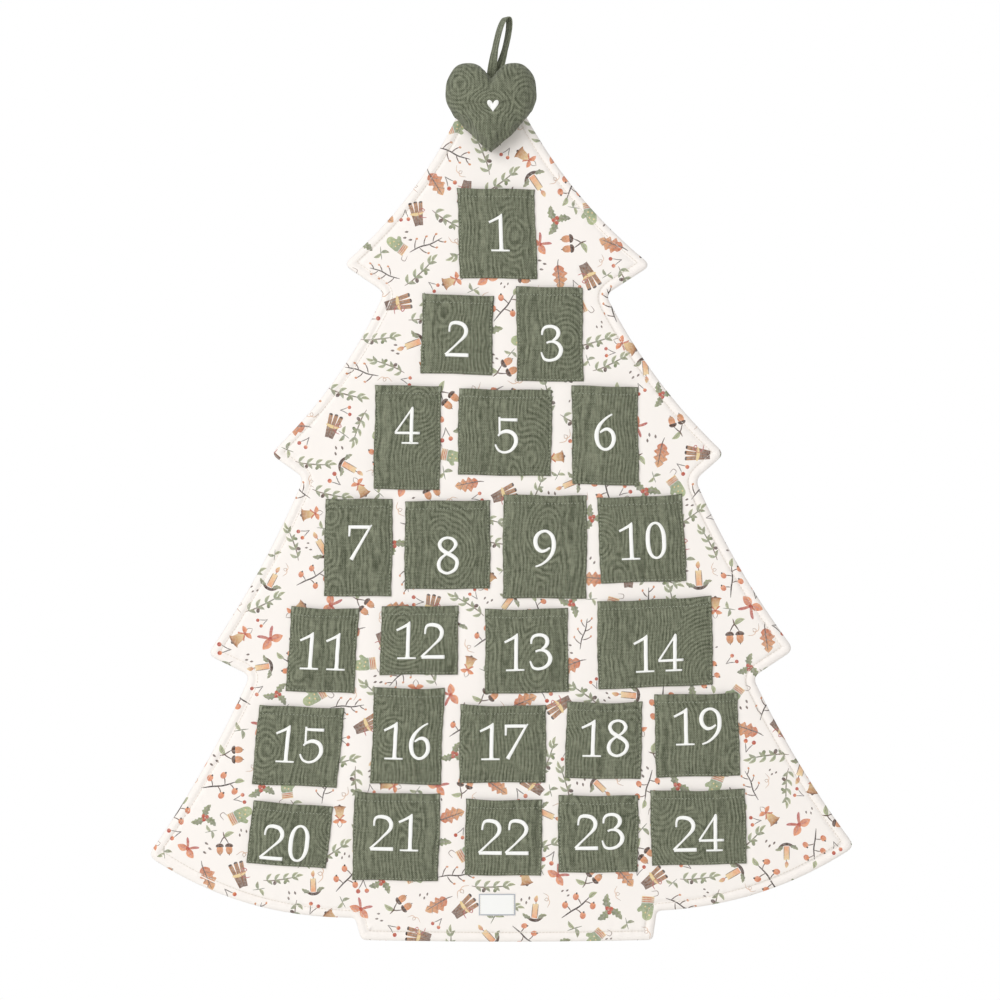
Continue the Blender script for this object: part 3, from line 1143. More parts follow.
class Pocket:
    """One patch of canvas. u runs right and v up from its lower left corner, in metres; its four
    corners come from its node in the model."""

    def __init__(self, number):
        points = node_points(f"pocket_{number:02d}")
        x, z = points[:, 0], points[:, 2]
        ends = [points[np.argmax(score)][[0, 2]] for score in (-x - z, x - z, x + z, z - x)]
        self.number = number
        self.low_left, self.low_right, self.top_right, self.top_left = ends
        span = np.linalg.norm
        self.width = span(self.low_right - self.low_left + self.top_right - self.top_left) / 2
        self.height = span(self.top_left - self.low_left + self.top_right - self.low_right) / 2
        random = np.random.default_rng(100 + number)
        self.phase = random.uniform(0, TAU, 8)
        self.rings = random.uniform((-0.1, 0, 0), (1.1, 1, 9), (4, 3))
        self.sag = random.uniform(-0.2, 1.3) * MM
        self.slouch = random.uniform(-0.9, 0.9) * MM

    def seams(self):
        """The three sewn sides, as segment starts and ends."""
        chain = np.array([self.top_left, self.low_left, self.low_right, self.top_right])
        return chain[:-1], chain[1:]

    def covers(self, points):
        """Which points lie under the patch, at least 2 mm inside its edges."""
        u = (points - self.low_left) @ unit(self.low_right - self.low_left)
        v = (points - self.low_left) @ unit(self.top_left - self.low_left)
        edge = 2 * MM
        return (u > edge) & (u < self.width - edge) & (v > edge) & (v < self.height - edge)

    def place(self, u, v):
        """Where a point of the patch lies seen from the front: blended from the four corners, with
        edges that waver by half a millimetre and a mouth that sags."""
        a, b = (u / self.width)[..., None], (v / self.height)[..., None]
        at = ((self.low_left * (1 - a) + self.low_right * a) * (1 - b)
              + (self.top_left * (1 - a) + self.top_right * a) * b)
        p = self.phase
        a, b = a[..., 0], b[..., 0]
        sway = (0.4 * MM * np.sin(v / 0.013 + p[0]) + 0.2 * MM * np.sin(v / 0.0023)) * (2 * a - 1)
        droop = -self.sag * np.sin(math.pi * a) + self.slouch * (a - 0.5)
        ripple = 0.35 * MM * np.sin(u / 0.0085 + p[1])
        foot = 0.3 * MM * np.sin(u / 0.011 + p[2])
        lift = (droop + ripple) * ease(b * 3 - 2) + foot * ease(1 - 4 * b)
        return at + np.stack([sway, lift], -1)

    def rise(self, u, v):
        """How far the patch bows off the tree: it climbs as 1 less a square over 13 mm, from 3 mm
        inside each sewn side, and small folds run slantwise over it."""
        climb = lambda t: 1 - (1 - np.clip((t - 3 * MM) / (13 * MM), 0, 1)) ** 2
        bowed = climb(np.minimum(u, self.width - u)) * climb(v)
        p = self.phase
        folds = (np.sin(u / 0.0075 + v / 0.021 + p[3]) + np.sin(u / 0.011 - v / 0.017 + p[4])
                 + np.sin(v / 0.0095 + u / 0.03 + p[5]))
        return bowed * (sizes().pocket_rise + 0.11 * MM * folds)

    def thickness(self, u, v):
        """The cloth's own thickness: more where the edge is turned in, about 7 mm wide, and at the
        hem; rounded at every edge, and pressed in along both rows of stitches."""
        sewn = np.minimum(np.minimum(u, self.width - u), v)
        mouth = self.height - v
        double = np.maximum(1 - ease((sewn - 6.5 * MM) / (1.2 * MM)),
                            1 - ease((mouth - sizes().hem) / (0.9 * MM)))
        row = (bell((sewn - SEAM_STITCH) / (0.55 * MM))
               + bell((mouth - sizes().hem + HEM_STITCH) / (0.6 * MM)))
        thick = PATCH_CLOTH + PATCH_DOUBLE * double - 0.4 * MM * np.minimum(row, 1)
        return thick * dome(sewn / (0.9 * MM)) * dome(mouth / (0.9 * MM)) + 0.06 * MM

    def grain(self, u, v):
        """How far across the thick yarns a point lies: streaks ring two random places and pass
        upright by two more."""
        rings = [(a * self.width / MM, b * self.height / MM, stretch, start)
                 for (a, b, start), stretch in zip(self.rings, (1.2, 1.6, 10, 14))]
        return ringed(u + 1.3 * MM * np.sin(v / 0.0095 + self.phase[5]), v, rings)

    def surface(self, u, v, lift=0.0, inner=False):
        """The point in space over u and v, lift above the outer face, or on the inner face."""
        at = self.place(u, v)
        base = field_height(at.reshape(-1, 2), None).reshape(u.shape) - sizes().seam_dip
        base = base + 0.5 * MM + self.rise(u, v)
        if not inner:
            base = base + self.thickness(u, v) + lift
        return stand(at, -base)


def graded(length, extra=()):
    """Places along a side, close together near both ends and 2.2 mm apart between."""
    near = np.array([0, 0.1, 0.3, 0.6, 1, 1.5, 2, 2.5, 3.2, 4.2, 5.4, 6.4, 7, 7.8]) * MM
    middle = np.arange(9.5 * MM, length - 9 * MM, 2.2 * MM)
    return np.unique(np.concatenate([near, middle, length - near, np.asarray(extra)]).round(6))


def make_pocket(pocket):
    """The patch as a closed sheet: its outer face, its inner face and the strips between."""
    hem = pocket.height - sizes().hem + np.array([-1.2, -0.7, -0.2, 0.3, 0.8, 1.4, 2.0, 2.6]) * MM
    v, u = np.meshgrid(graded(pocket.height, hem), graded(pocket.width), indexing="ij")
    faces_at = pocket.surface(u, v), pocket.surface(u, v, inner=True)
    shift = pocket.phase[6:] * 10 * MM
    uv = np.tile(np.stack([u, v], -1).reshape(-1, 2) + shift, (2, 1))
    name = f"pocket_{pocket.number:02d}"
    obj = build(f"{name}_patch", "tree", canvas_finish(), np.stack(faces_at),
                sheet_faces(*u.shape), uv=uv, grain=np.tile(pocket.grain(u, v).ravel(), 2),
                replaces=[name])


def pocket_thread(pocket):
    """Stitches along the sewn sides and the hem, and a bar tack at each end of the mouth."""
    inset = SEAM_STITCH
    right, top = pocket.width - inset, pocket.height - 1.2 * MM
    low = [(inset, top), (inset, inset), (right, inset), (right, top)]
    hem = pocket.height - sizes().hem + HEM_STITCH
    rows = [(a, b, 0.0) for a, b in zip(low[:-1], low[1:])]
    rows.append(((inset + MM, hem), (right - MM, hem), 0.6 * MM))
    starts, ends = [], []
    for a, b, zigzag in rows:
        a, b = np.array(a), np.array(b)
        count = round(np.linalg.norm(b - a) / sizes().pocket_stitch)
        first = np.arange(count)[:, None] / count
        sideways = (-1) ** np.arange(count)[:, None] * np.array([0, zigzag])
        starts.append(a + (b - a) * (first + 0.2 / count) + sideways)
        ends.append(a + (b - a) * (first + 0.76 / count) - sideways)
    off_edge, tack_length = 0.7 * MM, 2.8 * MM
    for side, inward in ((off_edge, 1), (pocket.width - off_edge, -1)):
        tack = pocket.height - (1.2 + 0.75 * np.arange(6)[:, None]) * MM
        starts.append(np.hstack([np.full_like(tack, side), tack]))
        ends.append(np.hstack([np.full_like(tack, side + inward * tack_length), tack - 0.3 * MM]))
    ends, starts = (pocket.surface(*np.vstack(part).T) for part in (ends, starts))
    stitches(f"pocket_{pocket.number:02d}_stitches", "tree", "sage_canvas", thread_finish("green"),
             starts, ends, (0.0, -1, 0), 0.85 * MM)


def make_numeral(pocket):
    """A number in satin stitch: each stroke is a band whose section is a flat arch, carried along
    its path and laid on the pocket."""
    across = np.array([-1, -0.94, -0.75, -0.4, 0, 0.4, 0.75, 0.94, 1, 1, -1])
    arch = np.append(np.sqrt(1 - np.abs(across[:-2]) ** 3), [-0.4, -0.4]) * sizes().satin
    right, up = NUMERAL_OFFSETS[pocket.number - 1]
    middle = np.array([pocket.width / 2 + right * MM,
                       pocket.height / 2 + (up - NUMERAL_HEIGHT / 2) * MM])
    text = str(pocket.number)
    points, faces, uvs, first = [], [], [], 0
    for place, digit in enumerate(text):
        shift = (place - (len(text) - 1) / 2) * NUMERAL_ADVANCE
        for stroke in DIGITS[digit]:
            path = smooth_path(stroke, 6)
            closed = stroke[0] == stroke[-1]
            path = path[:-1] if closed else path
            centre = path[:, :2] + (shift, 0)
            before, after = (np.roll(centre, k, 0) for k in (1, -1))
            tangent = after - before if closed else np.gradient(centre, axis=0)
            side = unit(tangent)[:, ::-1] * (-1, 1)
            reach_out = side[:, None] * (across * path[:, 2:] / 2)[..., None]
            at = middle + MM * (centre[:, None] + reach_out)
            points.append(pocket.surface(at[..., 0], at[..., 1], lift=arch).reshape(-1, 3))
            rows, columns = at.shape[:2]
            uv = np.stack(np.broadcast_arrays(across * 2 * MM, distances(centre)[:, None] * MM), -1)
            uvs.append(uv.reshape(-1, 2))
            made = tube_faces(rows, columns)
            if closed:
                ring, last = np.arange(columns), (rows - 1) * columns
                after = np.roll(ring, -1)
                made = [*made[:-2], *np.stack([last + ring, last + after, after, ring], 1)]
            faces += [first + face for face in made]
            first += rows * columns
    build(f"numeral_{pocket.number:02d}", "tree", satin_finish(),
          np.vstack(points), faces, uv=np.vstack(uvs))


# The heart

def heart_outline(curves, width, height, steps):
    """A heart's outline about its middle, anticlockwise from the cleft seen from the front."""
    t = (np.arange(steps) / steps)[:, None]
    weights = np.hstack([(1 - t) ** 3, 3 * t * (1 - t) ** 2, 3 * t**2 * (1 - t), t**3])
    left = np.vstack([weights @ np.array(curve) for curve in curves])
    full = np.vstack([left * (-1, 1), [[0, 1]], left[:0:-1]])
    return (full * (1, -1) + (0, 0.5)) * (width, height)


def heart_half(fill, shrink=0.0, rings=34, steps=30):
    """Half of the stuffed heart from its seam to its crown. Ring s of the outline is drawn in to s
    and rounded towards a circle; its height is the fill times the square root of 1 less s to the
    power 3.2. A crease runs down from the cleft, and puckers cross the seam and fade inwards."""
    crease_width, crease_depth, crease_foot, crease_run = 3.4 * MM, 2 * MM, 13 * MM, 19 * MM
    pucker_pitch, pucker_depth, pucker_start, pucker_reach = 8.5 * MM, 0.5 * MM, 2 * MM, 7 * MM
    outline = heart_outline(HEART_CURVES, HEART_WIDTH - 2 * shrink, HEART_HEIGHT - 2 * shrink,
                            steps)
    radius = HEART_WIDTH / 2 - shrink
    s = np.sin(np.linspace(math.pi / 2, 0.02, rings))[:, None, None]
    run = np.cumsum(np.linalg.norm(np.roll(outline, -1, 0) - outline, axis=1))
    wobble = 0.22 * MM * (np.sin(run / (3.1 * MM) + 1) + np.sin(run / (5.3 * MM)))[:, None]
    at = (outline + unit(outline) * wobble * ease(5 * s - 4)
          + (unit(outline) * radius - outline) * (1 - s) * 0.85) * s
    rise = np.sqrt(np.maximum(1 - s[..., 0] ** 3.2, 0))
    x, z = at[..., 0], at[..., 1]
    crease = (bell(x / crease_width) * ease((z - crease_foot) / crease_run)
              * ease((1 - s[..., 0]) * 7))
    seam = (1 - s[..., 0]) * radius
    wander = 1.9 * np.sin(run / (19 * MM)) + 1.2 * np.sin(run / (7 * MM))
    pucker = (np.sin(run * TAU / pucker_pitch + wander) * ease(seam / pucker_start)
              * bell((seam - pucker_start) / pucker_reach))
    swell = 0.5 * MM * np.sin(x / (9 * MM) + 1) * np.sin(z / (12 * MM))
    height = ((fill - shrink) * rise - crease_depth * crease + pucker_depth * pucker
              + swell * rise)
    return at, np.maximum(height, 0)


def heart_points(at, height, seam_y, side):
    """The heart's points in space; side is -1 for the front and 1 for the back."""
    return stand(HEART_CENTRE + at, seam_y + side * height)


def heart_grain(at):
    """How far across the thick yarns a point of the heart lies: rings on each lobe and round the
    emblem, with upright waves below."""
    x, z = at[..., 0], at[..., 1]
    rings = ((-31, 22, 1.1, 2), (33, 9, 1.2, 1), (1, 2, 0.8, -7), (2.5, -28, 9, 1))
    return ringed(x + 1.1 * MM * np.sin(z / 0.0045), z, rings)


def bag(front, back):
    """Two halves joined at their shared outermost ring into one closed surface, as points from the
    front's crown over the seam to the back's, and faces."""
    rings, around = front.shape[:2]
    points = np.concatenate([front[::-1], back[1:]]).reshape(-1, 3)
    return points, tube_faces(2 * rings - 1, around)


def inflate(front, back):
    """Blows the bag up by cloth simulation: 20 frames of pressure without gravity, its seam held.
    Returns how far each half's points move, 1.6 mm at most and never towards the tree behind. The
    front's innermost ring, whose points lie 0.1 mm apart, sinks while its neighbours swell."""
    rings, around = front.shape[:2]
    points, faces = bag(front, back)
    mesh = bpy.data.meshes.new("heart_bag")
    mesh.from_pydata(points.tolist(), [], [list(map(int, face[::-1])) for face in faces])
    trial = bpy.data.objects.new("heart_bag", mesh)
    scene = bpy.context.scene
    scene.collection.objects.link(trial)
    seam = trial.vertex_groups.new(name="seam")
    seam.add(list(range((rings - 1) * around, rings * around)), 1.0, "REPLACE")
    cloth = trial.modifiers.new("stuffing", "CLOTH").settings
    cloth.vertex_group_mass = "seam"
    cloth.use_pressure = True
    cloth.uniform_pressure_force = SWELL_PRESSURE
    cloth.shrink_min = -0.05
    cloth.bending_stiffness = 0.05
    cloth.effector_weights.gravity = 0
    for frame_number in range(1, SWELL_FRAMES + 1):
        scene.frame_set(frame_number)
    settled = trial.evaluated_get(bpy.context.evaluated_depsgraph_get()).data
    result = np.empty(points.size)
    settled.vertices.foreach_get("co", result)
    moved = result.reshape(-1, 3) - points
    far = np.linalg.norm(moved, axis=1, keepdims=True)
    moved *= np.minimum(1, SWELL_CAP / np.maximum(far, 1e-9))
    scene.frame_set(1)
    bpy.data.objects.remove(trial)
    moved = moved.reshape(-1, around, 3)
    ahead, behind = moved[:rings][::-1], moved[rings - 1:]
    return ahead, behind * (1, 0, 1) + np.minimum(behind, 0) * (0, 1, 0)


def refine(field):
    """A field over rings and their points on a grid three times as fine each way, by Catmull-Rom
    curves."""
    rings, around, parts = field.shape
    rows = smooth_path(field.reshape(rings, -1), 3).reshape(-1, around, parts)
    closed = np.concatenate([rows, rows[:, :1]], 1).transpose(1, 0, 2).reshape(around + 1, -1)
    return smooth_path(closed, 3)[:-1].reshape(3 * around, -1, parts).transpose(1, 0, 2)


def heart_shell(name, node, seam_y, crown_y, side, moved):
    """One cover of the heart: an outer face, an inner face 0.9 mm inside it, and a strip between
    them round the seam; the crown of each is closed by one small face."""
    fill = abs(crown_y - seam_y)
    moved = refine(moved)
    at, height = heart_half(fill)
    outer = heart_points(at, height, seam_y, side) + moved
    at_in, height_in = heart_half(fill, CLOTH)
    inner = heart_points(at_in, height_in, seam_y, side) + moved
    rings, around = outer.shape[:2]
    count = rings * around
    quads = grid_faces(rings, around, True)
    crown = (rings - 1) * around + np.arange(around)
    ring = np.arange(around)
    rim = np.stack([ring, np.roll(ring, -1), np.roll(ring, -1) + count, ring + count], 1)
    faces = [*quads, *(quads[:, ::-1] + count), *rim, crown, crown[::-1] + count]
    steps = np.linalg.norm(np.diff(outer[::-1], axis=0, prepend=outer[-1:]), axis=2)
    along = np.cumsum(steps, axis=0)[::-1]
    uv = unit(at) * along[..., None] * 0.92
    obj = build(name, "heart", canvas_finish(),
                np.concatenate([outer.reshape(-1, 3), inner.reshape(-1, 3)]), faces,
                uv=np.tile(uv.reshape(-1, 2), (2, 1)), grain=np.tile(heart_grain(at).ravel(), 2),
                replaces=[node])
    return outer.reshape(-1, 3)


# The hanging tape

def loop_path(t):
    """The middle of the tape: it rises from its root as 1 less |t| to the power 2.2, its legs part
    as t less its cube, and it leans from its root to its top. t runs from -1 to 1."""
    root = LOOP_DROP - CLEARANCE
    rise = 1 - np.abs(t) ** LOOP_ROUNDNESS
    part = (t - t**3) * 1.5 * math.sqrt(3)
    foot = t * (1 - rise)
    x = LOOP_ROOT_X * (1 - rise) + LOOP_SPREAD_X * part + LOOP_ROOT_SPREAD * foot
    y = LOOP_SPREAD_Y * part + (TAPE_THICKNESS / 2 + SEAM_HALF) * foot
    return np.stack([x, y, rise * (root + TAPE_THICKNESS / 2) - root], 1), rise


def loop_frames(count):
    """Centres, side directions and facing directions along the tape, with its two ends carried
    straight down into the tree."""
    t = np.linspace(-1, 1, count)
    centre, rise = loop_path(t)
    step = 1 / count
    tangent = unit(loop_path(np.minimum(t + step, 1))[0] - loop_path(np.maximum(t - step, -1))[0])
    upright = ease((np.abs(t) - 0.94) / 0.06)[:, None]
    tangent = unit(tangent * (1 - upright) - upright * np.sign(t)[:, None] * (0, 0, 1))
    twist = LOOP_TWIST * np.minimum(1, 2 * rise)
    wide = np.stack([np.cos(twist), -np.sin(twist), 0 * twist], 1)
    wide = unit(wide - (wide * tangent).sum(1, keepdims=True) * tangent)
    tuck = np.linspace(TAPE_TUCK, 0, 4, endpoint=False)[:, None] * (0, 0, -1)
    centre = np.vstack([centre[0] + tuck, centre, centre[-1] + tuck[::-1]])
    wide, tangent = (np.vstack([np.tile(way[0], (4, 1)), way, np.tile(way[-1], (4, 1))])
                     for way in (wide, tangent))
    return centre, wide, np.cross(tangent, wide)


# Operators

class CalendarPiece:
    """What the operators share: they run on the scene's own sizes and colours."""

    bl_options = {"REGISTER", "UNDO"}


def sewn_seams():
    """Every pocket's sewn sides, as segment starts and ends."""
    pairs = [Pocket(number).seams() for number in POCKETS]
    return np.vstack([a for a, _ in pairs]), np.vstack([b for _, b in pairs])


class CALENDAR_OT_front_cloth(CalendarPiece, Operator):
    """Sew the printed front of the padded tree"""

    bl_idname = "calendar.front_cloth"
    bl_label = "Printed front"

    def execute(self, context):
        pockets = [Pocket(number) for number in POCKETS]
        covered = lambda points: np.any([p.covers(points) for p in pockets], axis=0)
        seams = sewn_seams()
        outlines, looks = scatter_print(covered)
        flat, triangles, top, _ = triangulate(RIM, RING_INSETS, sizes().grid, outlines)
        edge = border(triangles)
        height = cover_height(flat, seams)
        height[edge] = SEAM_HALF
        inner = cover_layer(flat[edge], INNER_INSETS, 14 * MM, seams, -1, CLOTH)
        obj = close_up("front_cloth", "printed_cotton", printed_cotton(),
                       (stand(flat, -height), triangles, edge), inner, ["front_cover"],
                       ink_of(flat, triangles, top, looks))
        return {"FINISHED"}


class CALENDAR_OT_back_cloth(CalendarPiece, Operator):
    """Sew the plain back of the padded tree"""

    bl_idname = "calendar.back_cloth"
    bl_label = "Plain back"

    def execute(self, context):
        layers = [cover_layer(RIM, insets, 10 * MM, None, 1, inward)
                  for insets, inward in ((RING_INSETS, 0), (INNER_INSETS, CLOTH))]
        obj = close_up("back_cloth", "plain_cotton", plain_cotton(), *layers, ["back_cover"])
        return {"FINISHED"}


class CALENDAR_OT_wadding(CalendarPiece, Operator):
    """Lay the wadding between the two covers"""

    bl_idname = "calendar.wadding"
    bl_label = "Wadding"

    def execute(self, context):
        loop = tree_outline(1.6 * MM)
        layers = [cover_layer(loop, WADDING_INSETS, 16 * MM, seams, side, CLOTH + CLEARANCE,
                              CLEARANCE / 2, 0)
                  for side, seams in ((-1, sewn_seams()), (1, None))]
        obj = close_up("wadding_batt", "wadding", loose_filling("polyester wadding, carded"),
                       *layers, ["wadding"])
        return {"FINISHED"}


class CALENDAR_OT_topstitch(CalendarPiece, Operator):
    """Run the edge topstitch round both faces"""

    bl_idname = "calendar.topstitch"
    bl_label = "Topstitch"

    def execute(self, context):
        pitch = sizes().topstitch
        line = tree_outline(CHANNEL_INSET)
        line = np.vstack([line, line[:1]])
        run = distances(line)
        count = round(run[-1] / pitch)
        ends = [pick(line, run, (np.arange(count) + share) * run[-1] / count)
                for share in (0.1, 0.9)]
        for side, name, seams in ((-1, "front", sewn_seams()), (1, "back", None)):
            placed = [stand(p, side * (cover_height(p, seams) + 0.1 * MM)) for p in ends]
            stitches(f"{name}_topstitches", "tree", "cream_thread", thread_finish("cream"),
                     *placed, (0.0, side, 0), 0.6 * MM, replaces=[f"{name}_topstitch"])
        return {"FINISHED"}


class CALENDAR_OT_pockets(CalendarPiece, Operator):
    """Cut, hem and sew on the 24 patch pockets"""

    bl_idname = "calendar.pockets"
    bl_label = "Pockets"

    def execute(self, context):
        for number in POCKETS:
            pocket = Pocket(number)
            make_pocket(pocket)
            pocket_thread(pocket)
        return {"FINISHED"}


class CALENDAR_OT_numerals(CalendarPiece, Operator):
    """Embroider the numbers 1 to 24"""

    bl_idname = "calendar.numerals"
    bl_label = "Numerals"

    def execute(self, context):
        for number in POCKETS:
            make_numeral(Pocket(number))
        return {"FINISHED"}


class CALENDAR_OT_heart(CalendarPiece, Operator):
    """Sew and stuff the heart at the tree's top"""

    bl_idname = "calendar.heart"
    bl_label = "Stuffed heart"

    def execute(self, context):
        moved = inflate(*self.halves(0))
        cover = heart_shell("heart_front_cloth", "heart_front", HEART_HI.y, HEART_LO.y, -1,
                            moved[0])
        heart_shell("heart_back_cloth", "heart_back", HEART_BACK_LO.y, HEART_BACK_HI.y, 1,
                    moved[1])
        self.stuff(moved)
        self.embroider(cover)
        return {"FINISHED"}

    def halves(self, shrink):
        """Both halves of the heart, coarse and drawn in by a distance, with one seam between."""
        seam = (HEART_HI.y + HEART_BACK_LO.y) / 2
        made = []
        for side, crown in ((-1, HEART_LO.y), (1, HEART_BACK_HI.y)):
            at, height = heart_half(abs(crown - seam), shrink, rings=12, steps=10)
            made.append(heart_points(at, height, seam, side))
        return made

    def stuff(self, moved):
        """The stuffing: both halves drawn in by the cloth and a clearance."""
        halves = self.halves(CLOTH + 2 * CLEARANCE)
        points, faces = bag(*(half + shift for half, shift in zip(halves, moved)))
        obj = build("heart_stuffing", "heart",
                    loose_filling("polyester stuffing, carded"), points, faces,
                    replaces=["heart_filling"])

    def embroider(self, cover):
        """The small white heart: rings of its outline drawn in under a low dome, on the cover. The
        cover's depth under a point is the mean of its own points, weighted by a bell 2 mm wide."""
        low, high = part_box("heart_emblem")
        middle = np.array([(low.x + high.x) / 2, (low.z + high.z) / 2])
        outline = heart_outline(EMBLEM_CURVES, high.x - low.x, high.z - low.z, 10)
        s = np.array([1, 1, 0.93, 0.8, 0.6, 0.35, 0.08])[:, None, None]
        at = outline * s
        dome_height = np.array([-0.5, 0.1, 0.6, 0.85, 0.97, 1, 1])[:, None] * 0.75 * MM
        place = at + middle
        off = place[:, :, None] - cover[:, ::2]
        weight = bell(np.linalg.norm(off, axis=-1) / (2 * MM))
        depth = (weight * cover[:, 1]).sum(-1) / weight.sum(-1)
        build("heart_emblem_stitches", "heart", satin_finish(),
              stand(place, depth - dome_height), tube_faces(*at.shape[:2]), uv=at + 0.02,
              replaces=["heart_emblem"])


class CALENDAR_OT_loop(CalendarPiece, Operator):
    """Fold and sew the tape that hangs the calendar"""

    bl_idname = "calendar.loop"
    bl_label = "Hanging loop"

    def execute(self, context):
        rings, around, half_bend = 141, 24, 5 * MM
        centre, wide, thick = loop_frames(rings)
        turn = np.arange(around) * TAU / around
        power = lambda value, p: np.sign(value) * np.abs(value) ** p
        a, b = power(np.cos(turn), 0.35), power(np.sin(turn), 0.75)
        edge = np.abs(a) > 0.8
        b = b * np.where(edge, 1.0, 0.9)
        points = (centre[:, None] + wide[:, None] * (a * TAPE_WIDTH / 2)[:, None]
                  + thick[:, None] * (b * TAPE_THICKNESS / 2)[:, None])
        run = distances(centre)
        uv = np.stack(np.broadcast_arrays(a * TAPE_WIDTH / 2, run[:, None]), -1)
        faces = tube_faces(*points.shape[:2])
        across = uv[..., 0] + 2 * MM * np.sin(uv[..., 1] / (17 * MM))
        tape = build("loop_tape", None, canvas_finish(), points, faces,
                     uv=uv.reshape(-1, 2), grain=across, replaces=["hanging_loop"])
        root = np.array([centre[0, 0] + centre[-1, 0], 0]) / 2
        bend = dict(start=(root[0], 0, -LOOP_DROP + half_bend),
                    end=(root[0], 0, -LOOP_DROP - half_bend))
        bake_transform(tape)
        self.sew_edge(centre, wide, thick, run, bend)
        return {"FINISHED"}

    def sew_edge(self, centre, wide, thick, run, bend):
        """A row of stitches along the tape's open edge, on its outer face."""
        pitch, off_edge = 3 * MM, 1.6 * MM
        at = np.arange(TAPE_TUCK * 1.2, run[-1] - TAPE_TUCK * 1.2, pitch)
        rail = centre + wide * (TAPE_WIDTH / 2 - off_edge) - thick * (TAPE_THICKNESS / 2 * 0.95)
        thread = stitches("loop_stitches", None, "sage_canvas", thread_finish("green"),
                          pick(rail, run, at), pick(rail, run, at + 0.75 * pitch),
                          -pick(thick, run, at), 0.5 * MM)
        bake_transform(thread)


class CALENDAR_OT_label(CalendarPiece, Operator):
    """Sew the bare woven label on the trunk"""

    bl_idname = "calendar.label"
    bl_label = "Bare label"

    def execute(self, context):
        low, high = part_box("blank_label")
        width, height, thick = high.x - low.x, high.z - low.z, high.y - low.y
        steps = np.array([0, 0.15, 0.45, 0.9, 1.6, 2.6]) * MM
        line = lambda length: np.concatenate([steps, np.linspace(4 * MM, length - 4 * MM, 14),
                                              length - steps[::-1]])
        v, u = np.meshgrid(line(height), line(width), indexing="ij")
        edge = np.minimum(np.minimum(u, width - u), np.minimum(v, height - v))
        bulge = 0.25 * MM * np.sin(math.pi * u / width) * (1 + np.sin(v / 0.004 + u / 0.01))
        rounded = dome(edge / (0.45 * MM))
        outer = low.y - bulge + (1 - rounded) * thick * 0.8
        inner = outer + thick * (0.2 + 0.8 * rounded) * 0.9
        flat = np.stack([low.x + u, low.z + v], -1)
        uv = np.tile(np.stack([u, v], -1).reshape(-1, 2), (2, 1))
        obj = build("label_tape", "tree", label_weave((width, height)),
                    np.stack([stand(flat, outer), stand(flat, inner)]), sheet_faces(*u.shape),
                    uv=uv, replaces=["blank_label"])
        self.sew_ends(low, high)
        return {"FINISHED"}

    def sew_ends(self, low, high):
        """Cream stitches down both short ends."""
        inset, pitch = 1.9 * MM, 2.4 * MM
        z = np.arange(low.z + 1.8 * MM, high.z - 3 * MM, pitch)
        x = np.repeat([low.x + inset, high.x - inset], len(z))
        z = np.tile(z, 2)
        y = np.full(len(z), low.y - 0.12 * MM)
        stitches("label_stitches", "tree", "white_thread", thread_finish("cream"),
                 np.stack([x, y, z], 1), np.stack([x, y, z + 0.75 * pitch], 1), (0.0, -1, 0),
                 0.4 * MM)


# Soft lights: name, place and width in metres, watts
LAMPS = (
    ("key_light", (-2.6, -4.0, 1.2), 3.6, 143), ("fill_light", (1.6, -3.0, -0.3), 2.6, 6),
    ("back_light", (0.8, 3.6, 0.9), 3.0, 84), ("low_light", (0.0, -2.2, -1.5), 1.8, 4),
)


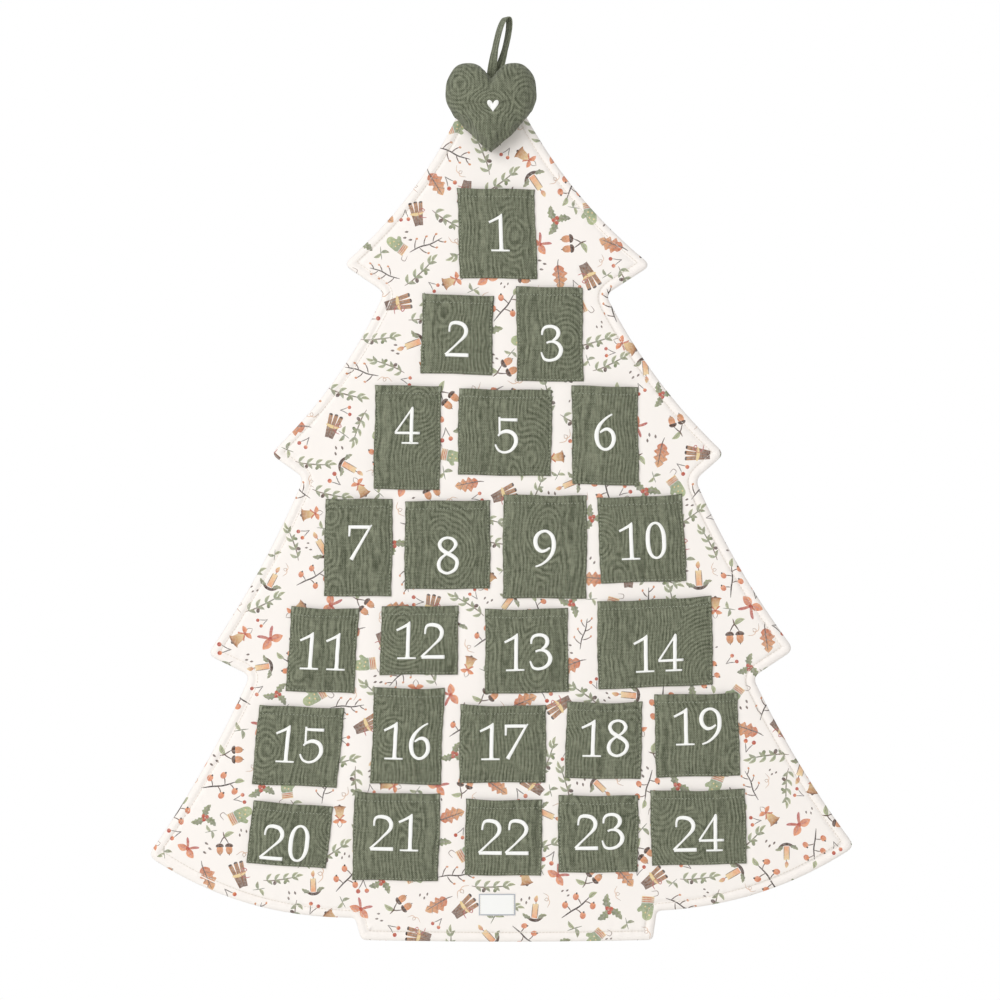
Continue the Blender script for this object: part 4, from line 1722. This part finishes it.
class CALENDAR_OT_stage(Operator):
    """Set up the pale floor, the soft lights and the camera"""

    bl_idname = "calendar.stage"
    bl_label = "Stage"

    def execute(self, context):
        scene = context.scene
        scene.view_settings.view_transform = "Standard"
        self.floor(scene)
        self.world(scene)
        for name, place, size, watts in LAMPS:
            self.lamp(scene, name, place, size, watts)
        self.camera(scene)
        return {"FINISHED"}

    def floor(self, scene):
        """A wide pale floor well below the hanging object. It adds half of white to what the camera
        sees, so that it is white wherever no shadow falls."""
        half, height = 3.2, -1.62
        mesh = bpy.data.meshes.new("floor")
        corners = [(x * half, y * half, height) for x, y in ((-1, -1), (1, -1), (1, 1), (-1, 1))]
        mesh.from_pydata(corners, [], [(0, 1, 2, 3)])
        material, tree = start_material("pale painted floor")
        paint = add(tree, "BsdfDiffuse", {"Color": (*linear("#e7e7e4"), 1)})
        lift = add(tree, "Math", (seen_directly(tree), 0.5), operation="MULTIPLY")
        glow = add(tree, "Emission", {"Color": (1, 1, 1, 1), "Strength": lift})
        add(tree, "OutputMaterial", {"Surface": add(tree, "AddShader", (paint, glow))})
        mesh.materials.append(material)
        floor = bpy.data.objects.new("floor", mesh)
        scene.collection.objects.link(floor)

    def world(self, scene):
        """White where the camera, gloss or glass sees it, and a soft grey light elsewhere."""
        world = bpy.data.worlds.new("studio")
        scene.world = world
        world.use_nodes = True
        tree = world.node_tree
        tree.nodes.clear()
        strength = add(tree, "MapRange", (seen_directly(tree), 0.0, 1.0, 0.5, 1.0))
        sky = add(tree, "Background", {"Color": (1, 1, 1, 1), "Strength": strength})
        add(tree, "OutputWorld", {"Surface": sky})

    def lamp(self, scene, name, place, size, watts):
        """A square soft light aimed at the object's middle."""
        light = bpy.data.lights.new(name, "AREA")
        light.size = size
        light.energy = watts
        lamp = bpy.data.objects.new(name, light)
        lamp.location = place
        middle = (cad_box[0] + cad_box[1]) / 2
        lamp.rotation_euler = (middle - Vector(place)).to_track_quat("-Z", "Y").to_euler()
        scene.collection.objects.link(lamp)

    def camera(self, scene):
        """A long lens square on to the front, with one millimetre of the object to a pixel and
        17 mm of air above the origin."""
        picture, pixel, above = 1000, 1 * MM, 17 * MM
        data = bpy.data.cameras.new("camera")
        data.lens, data.sensor_width = 100, 36
        camera = bpy.data.objects.new("camera", data)
        distance = picture * pixel * data.lens / data.sensor_width
        camera.location = (TREE_AXIS_X, -distance - 2 * FIELD_HALF, above - picture / 2 * pixel)
        camera.rotation_euler = (math.radians(90), 0, 0)
        scene.collection.objects.link(camera)
        scene.camera = camera


def seen_directly(tree):
    """1 for rays from the camera, from a gloss or through glass, and 0 for the rest."""
    path = add(tree, "LightPath")
    seen = path.outputs["Is Camera Ray"]
    for name in ("Is Glossy Ray", "Is Transmission Ray"):
        seen = add(tree, "Math", (seen, path.outputs[name]), operation="MAXIMUM")
    return seen


STEPS = (
    CALENDAR_OT_stage, CALENDAR_OT_loop, CALENDAR_OT_wadding, CALENDAR_OT_back_cloth,
    CALENDAR_OT_front_cloth, CALENDAR_OT_topstitch, CALENDAR_OT_pockets, CALENDAR_OT_numerals,
    CALENDAR_OT_label, CALENDAR_OT_heart,
)


class CALENDAR_PT_panel(Panel):
    """The calendar's pieces, sizes and colours"""

    bl_label = "Cloth calendar"
    bl_space_type = "VIEW_3D"
    bl_region_type = "UI"
    bl_category = "Calendar"

    def draw(self, context):
        for step in STEPS:
            self.layout.operator(step.bl_idname)
        for group in (sizes(), colours()):
            for name in group.bl_rna.properties.keys():
                if name not in ("rna_type", "name"):
                    self.layout.prop(group, name)


CLASSES = (CalendarColours, CalendarSizes, *STEPS, CALENDAR_PT_panel)


def register():
    for entry in CLASSES:
        bpy.utils.register_class(entry)
    bpy.types.Scene.calendar_colours = PointerProperty(type=CalendarColours)
    bpy.types.Scene.calendar_sizes = PointerProperty(type=CalendarSizes)


def unregister():
    del bpy.types.Scene.calendar_sizes
    del bpy.types.Scene.calendar_colours
    for entry in reversed(CLASSES):
        bpy.utils.unregister_class(entry)


def main():
    register()
    for step in STEPS:
        group, name = step.bl_idname.split(".")
        getattr(getattr(bpy.ops, group), name)()


if __name__ == "__main__":
    main()
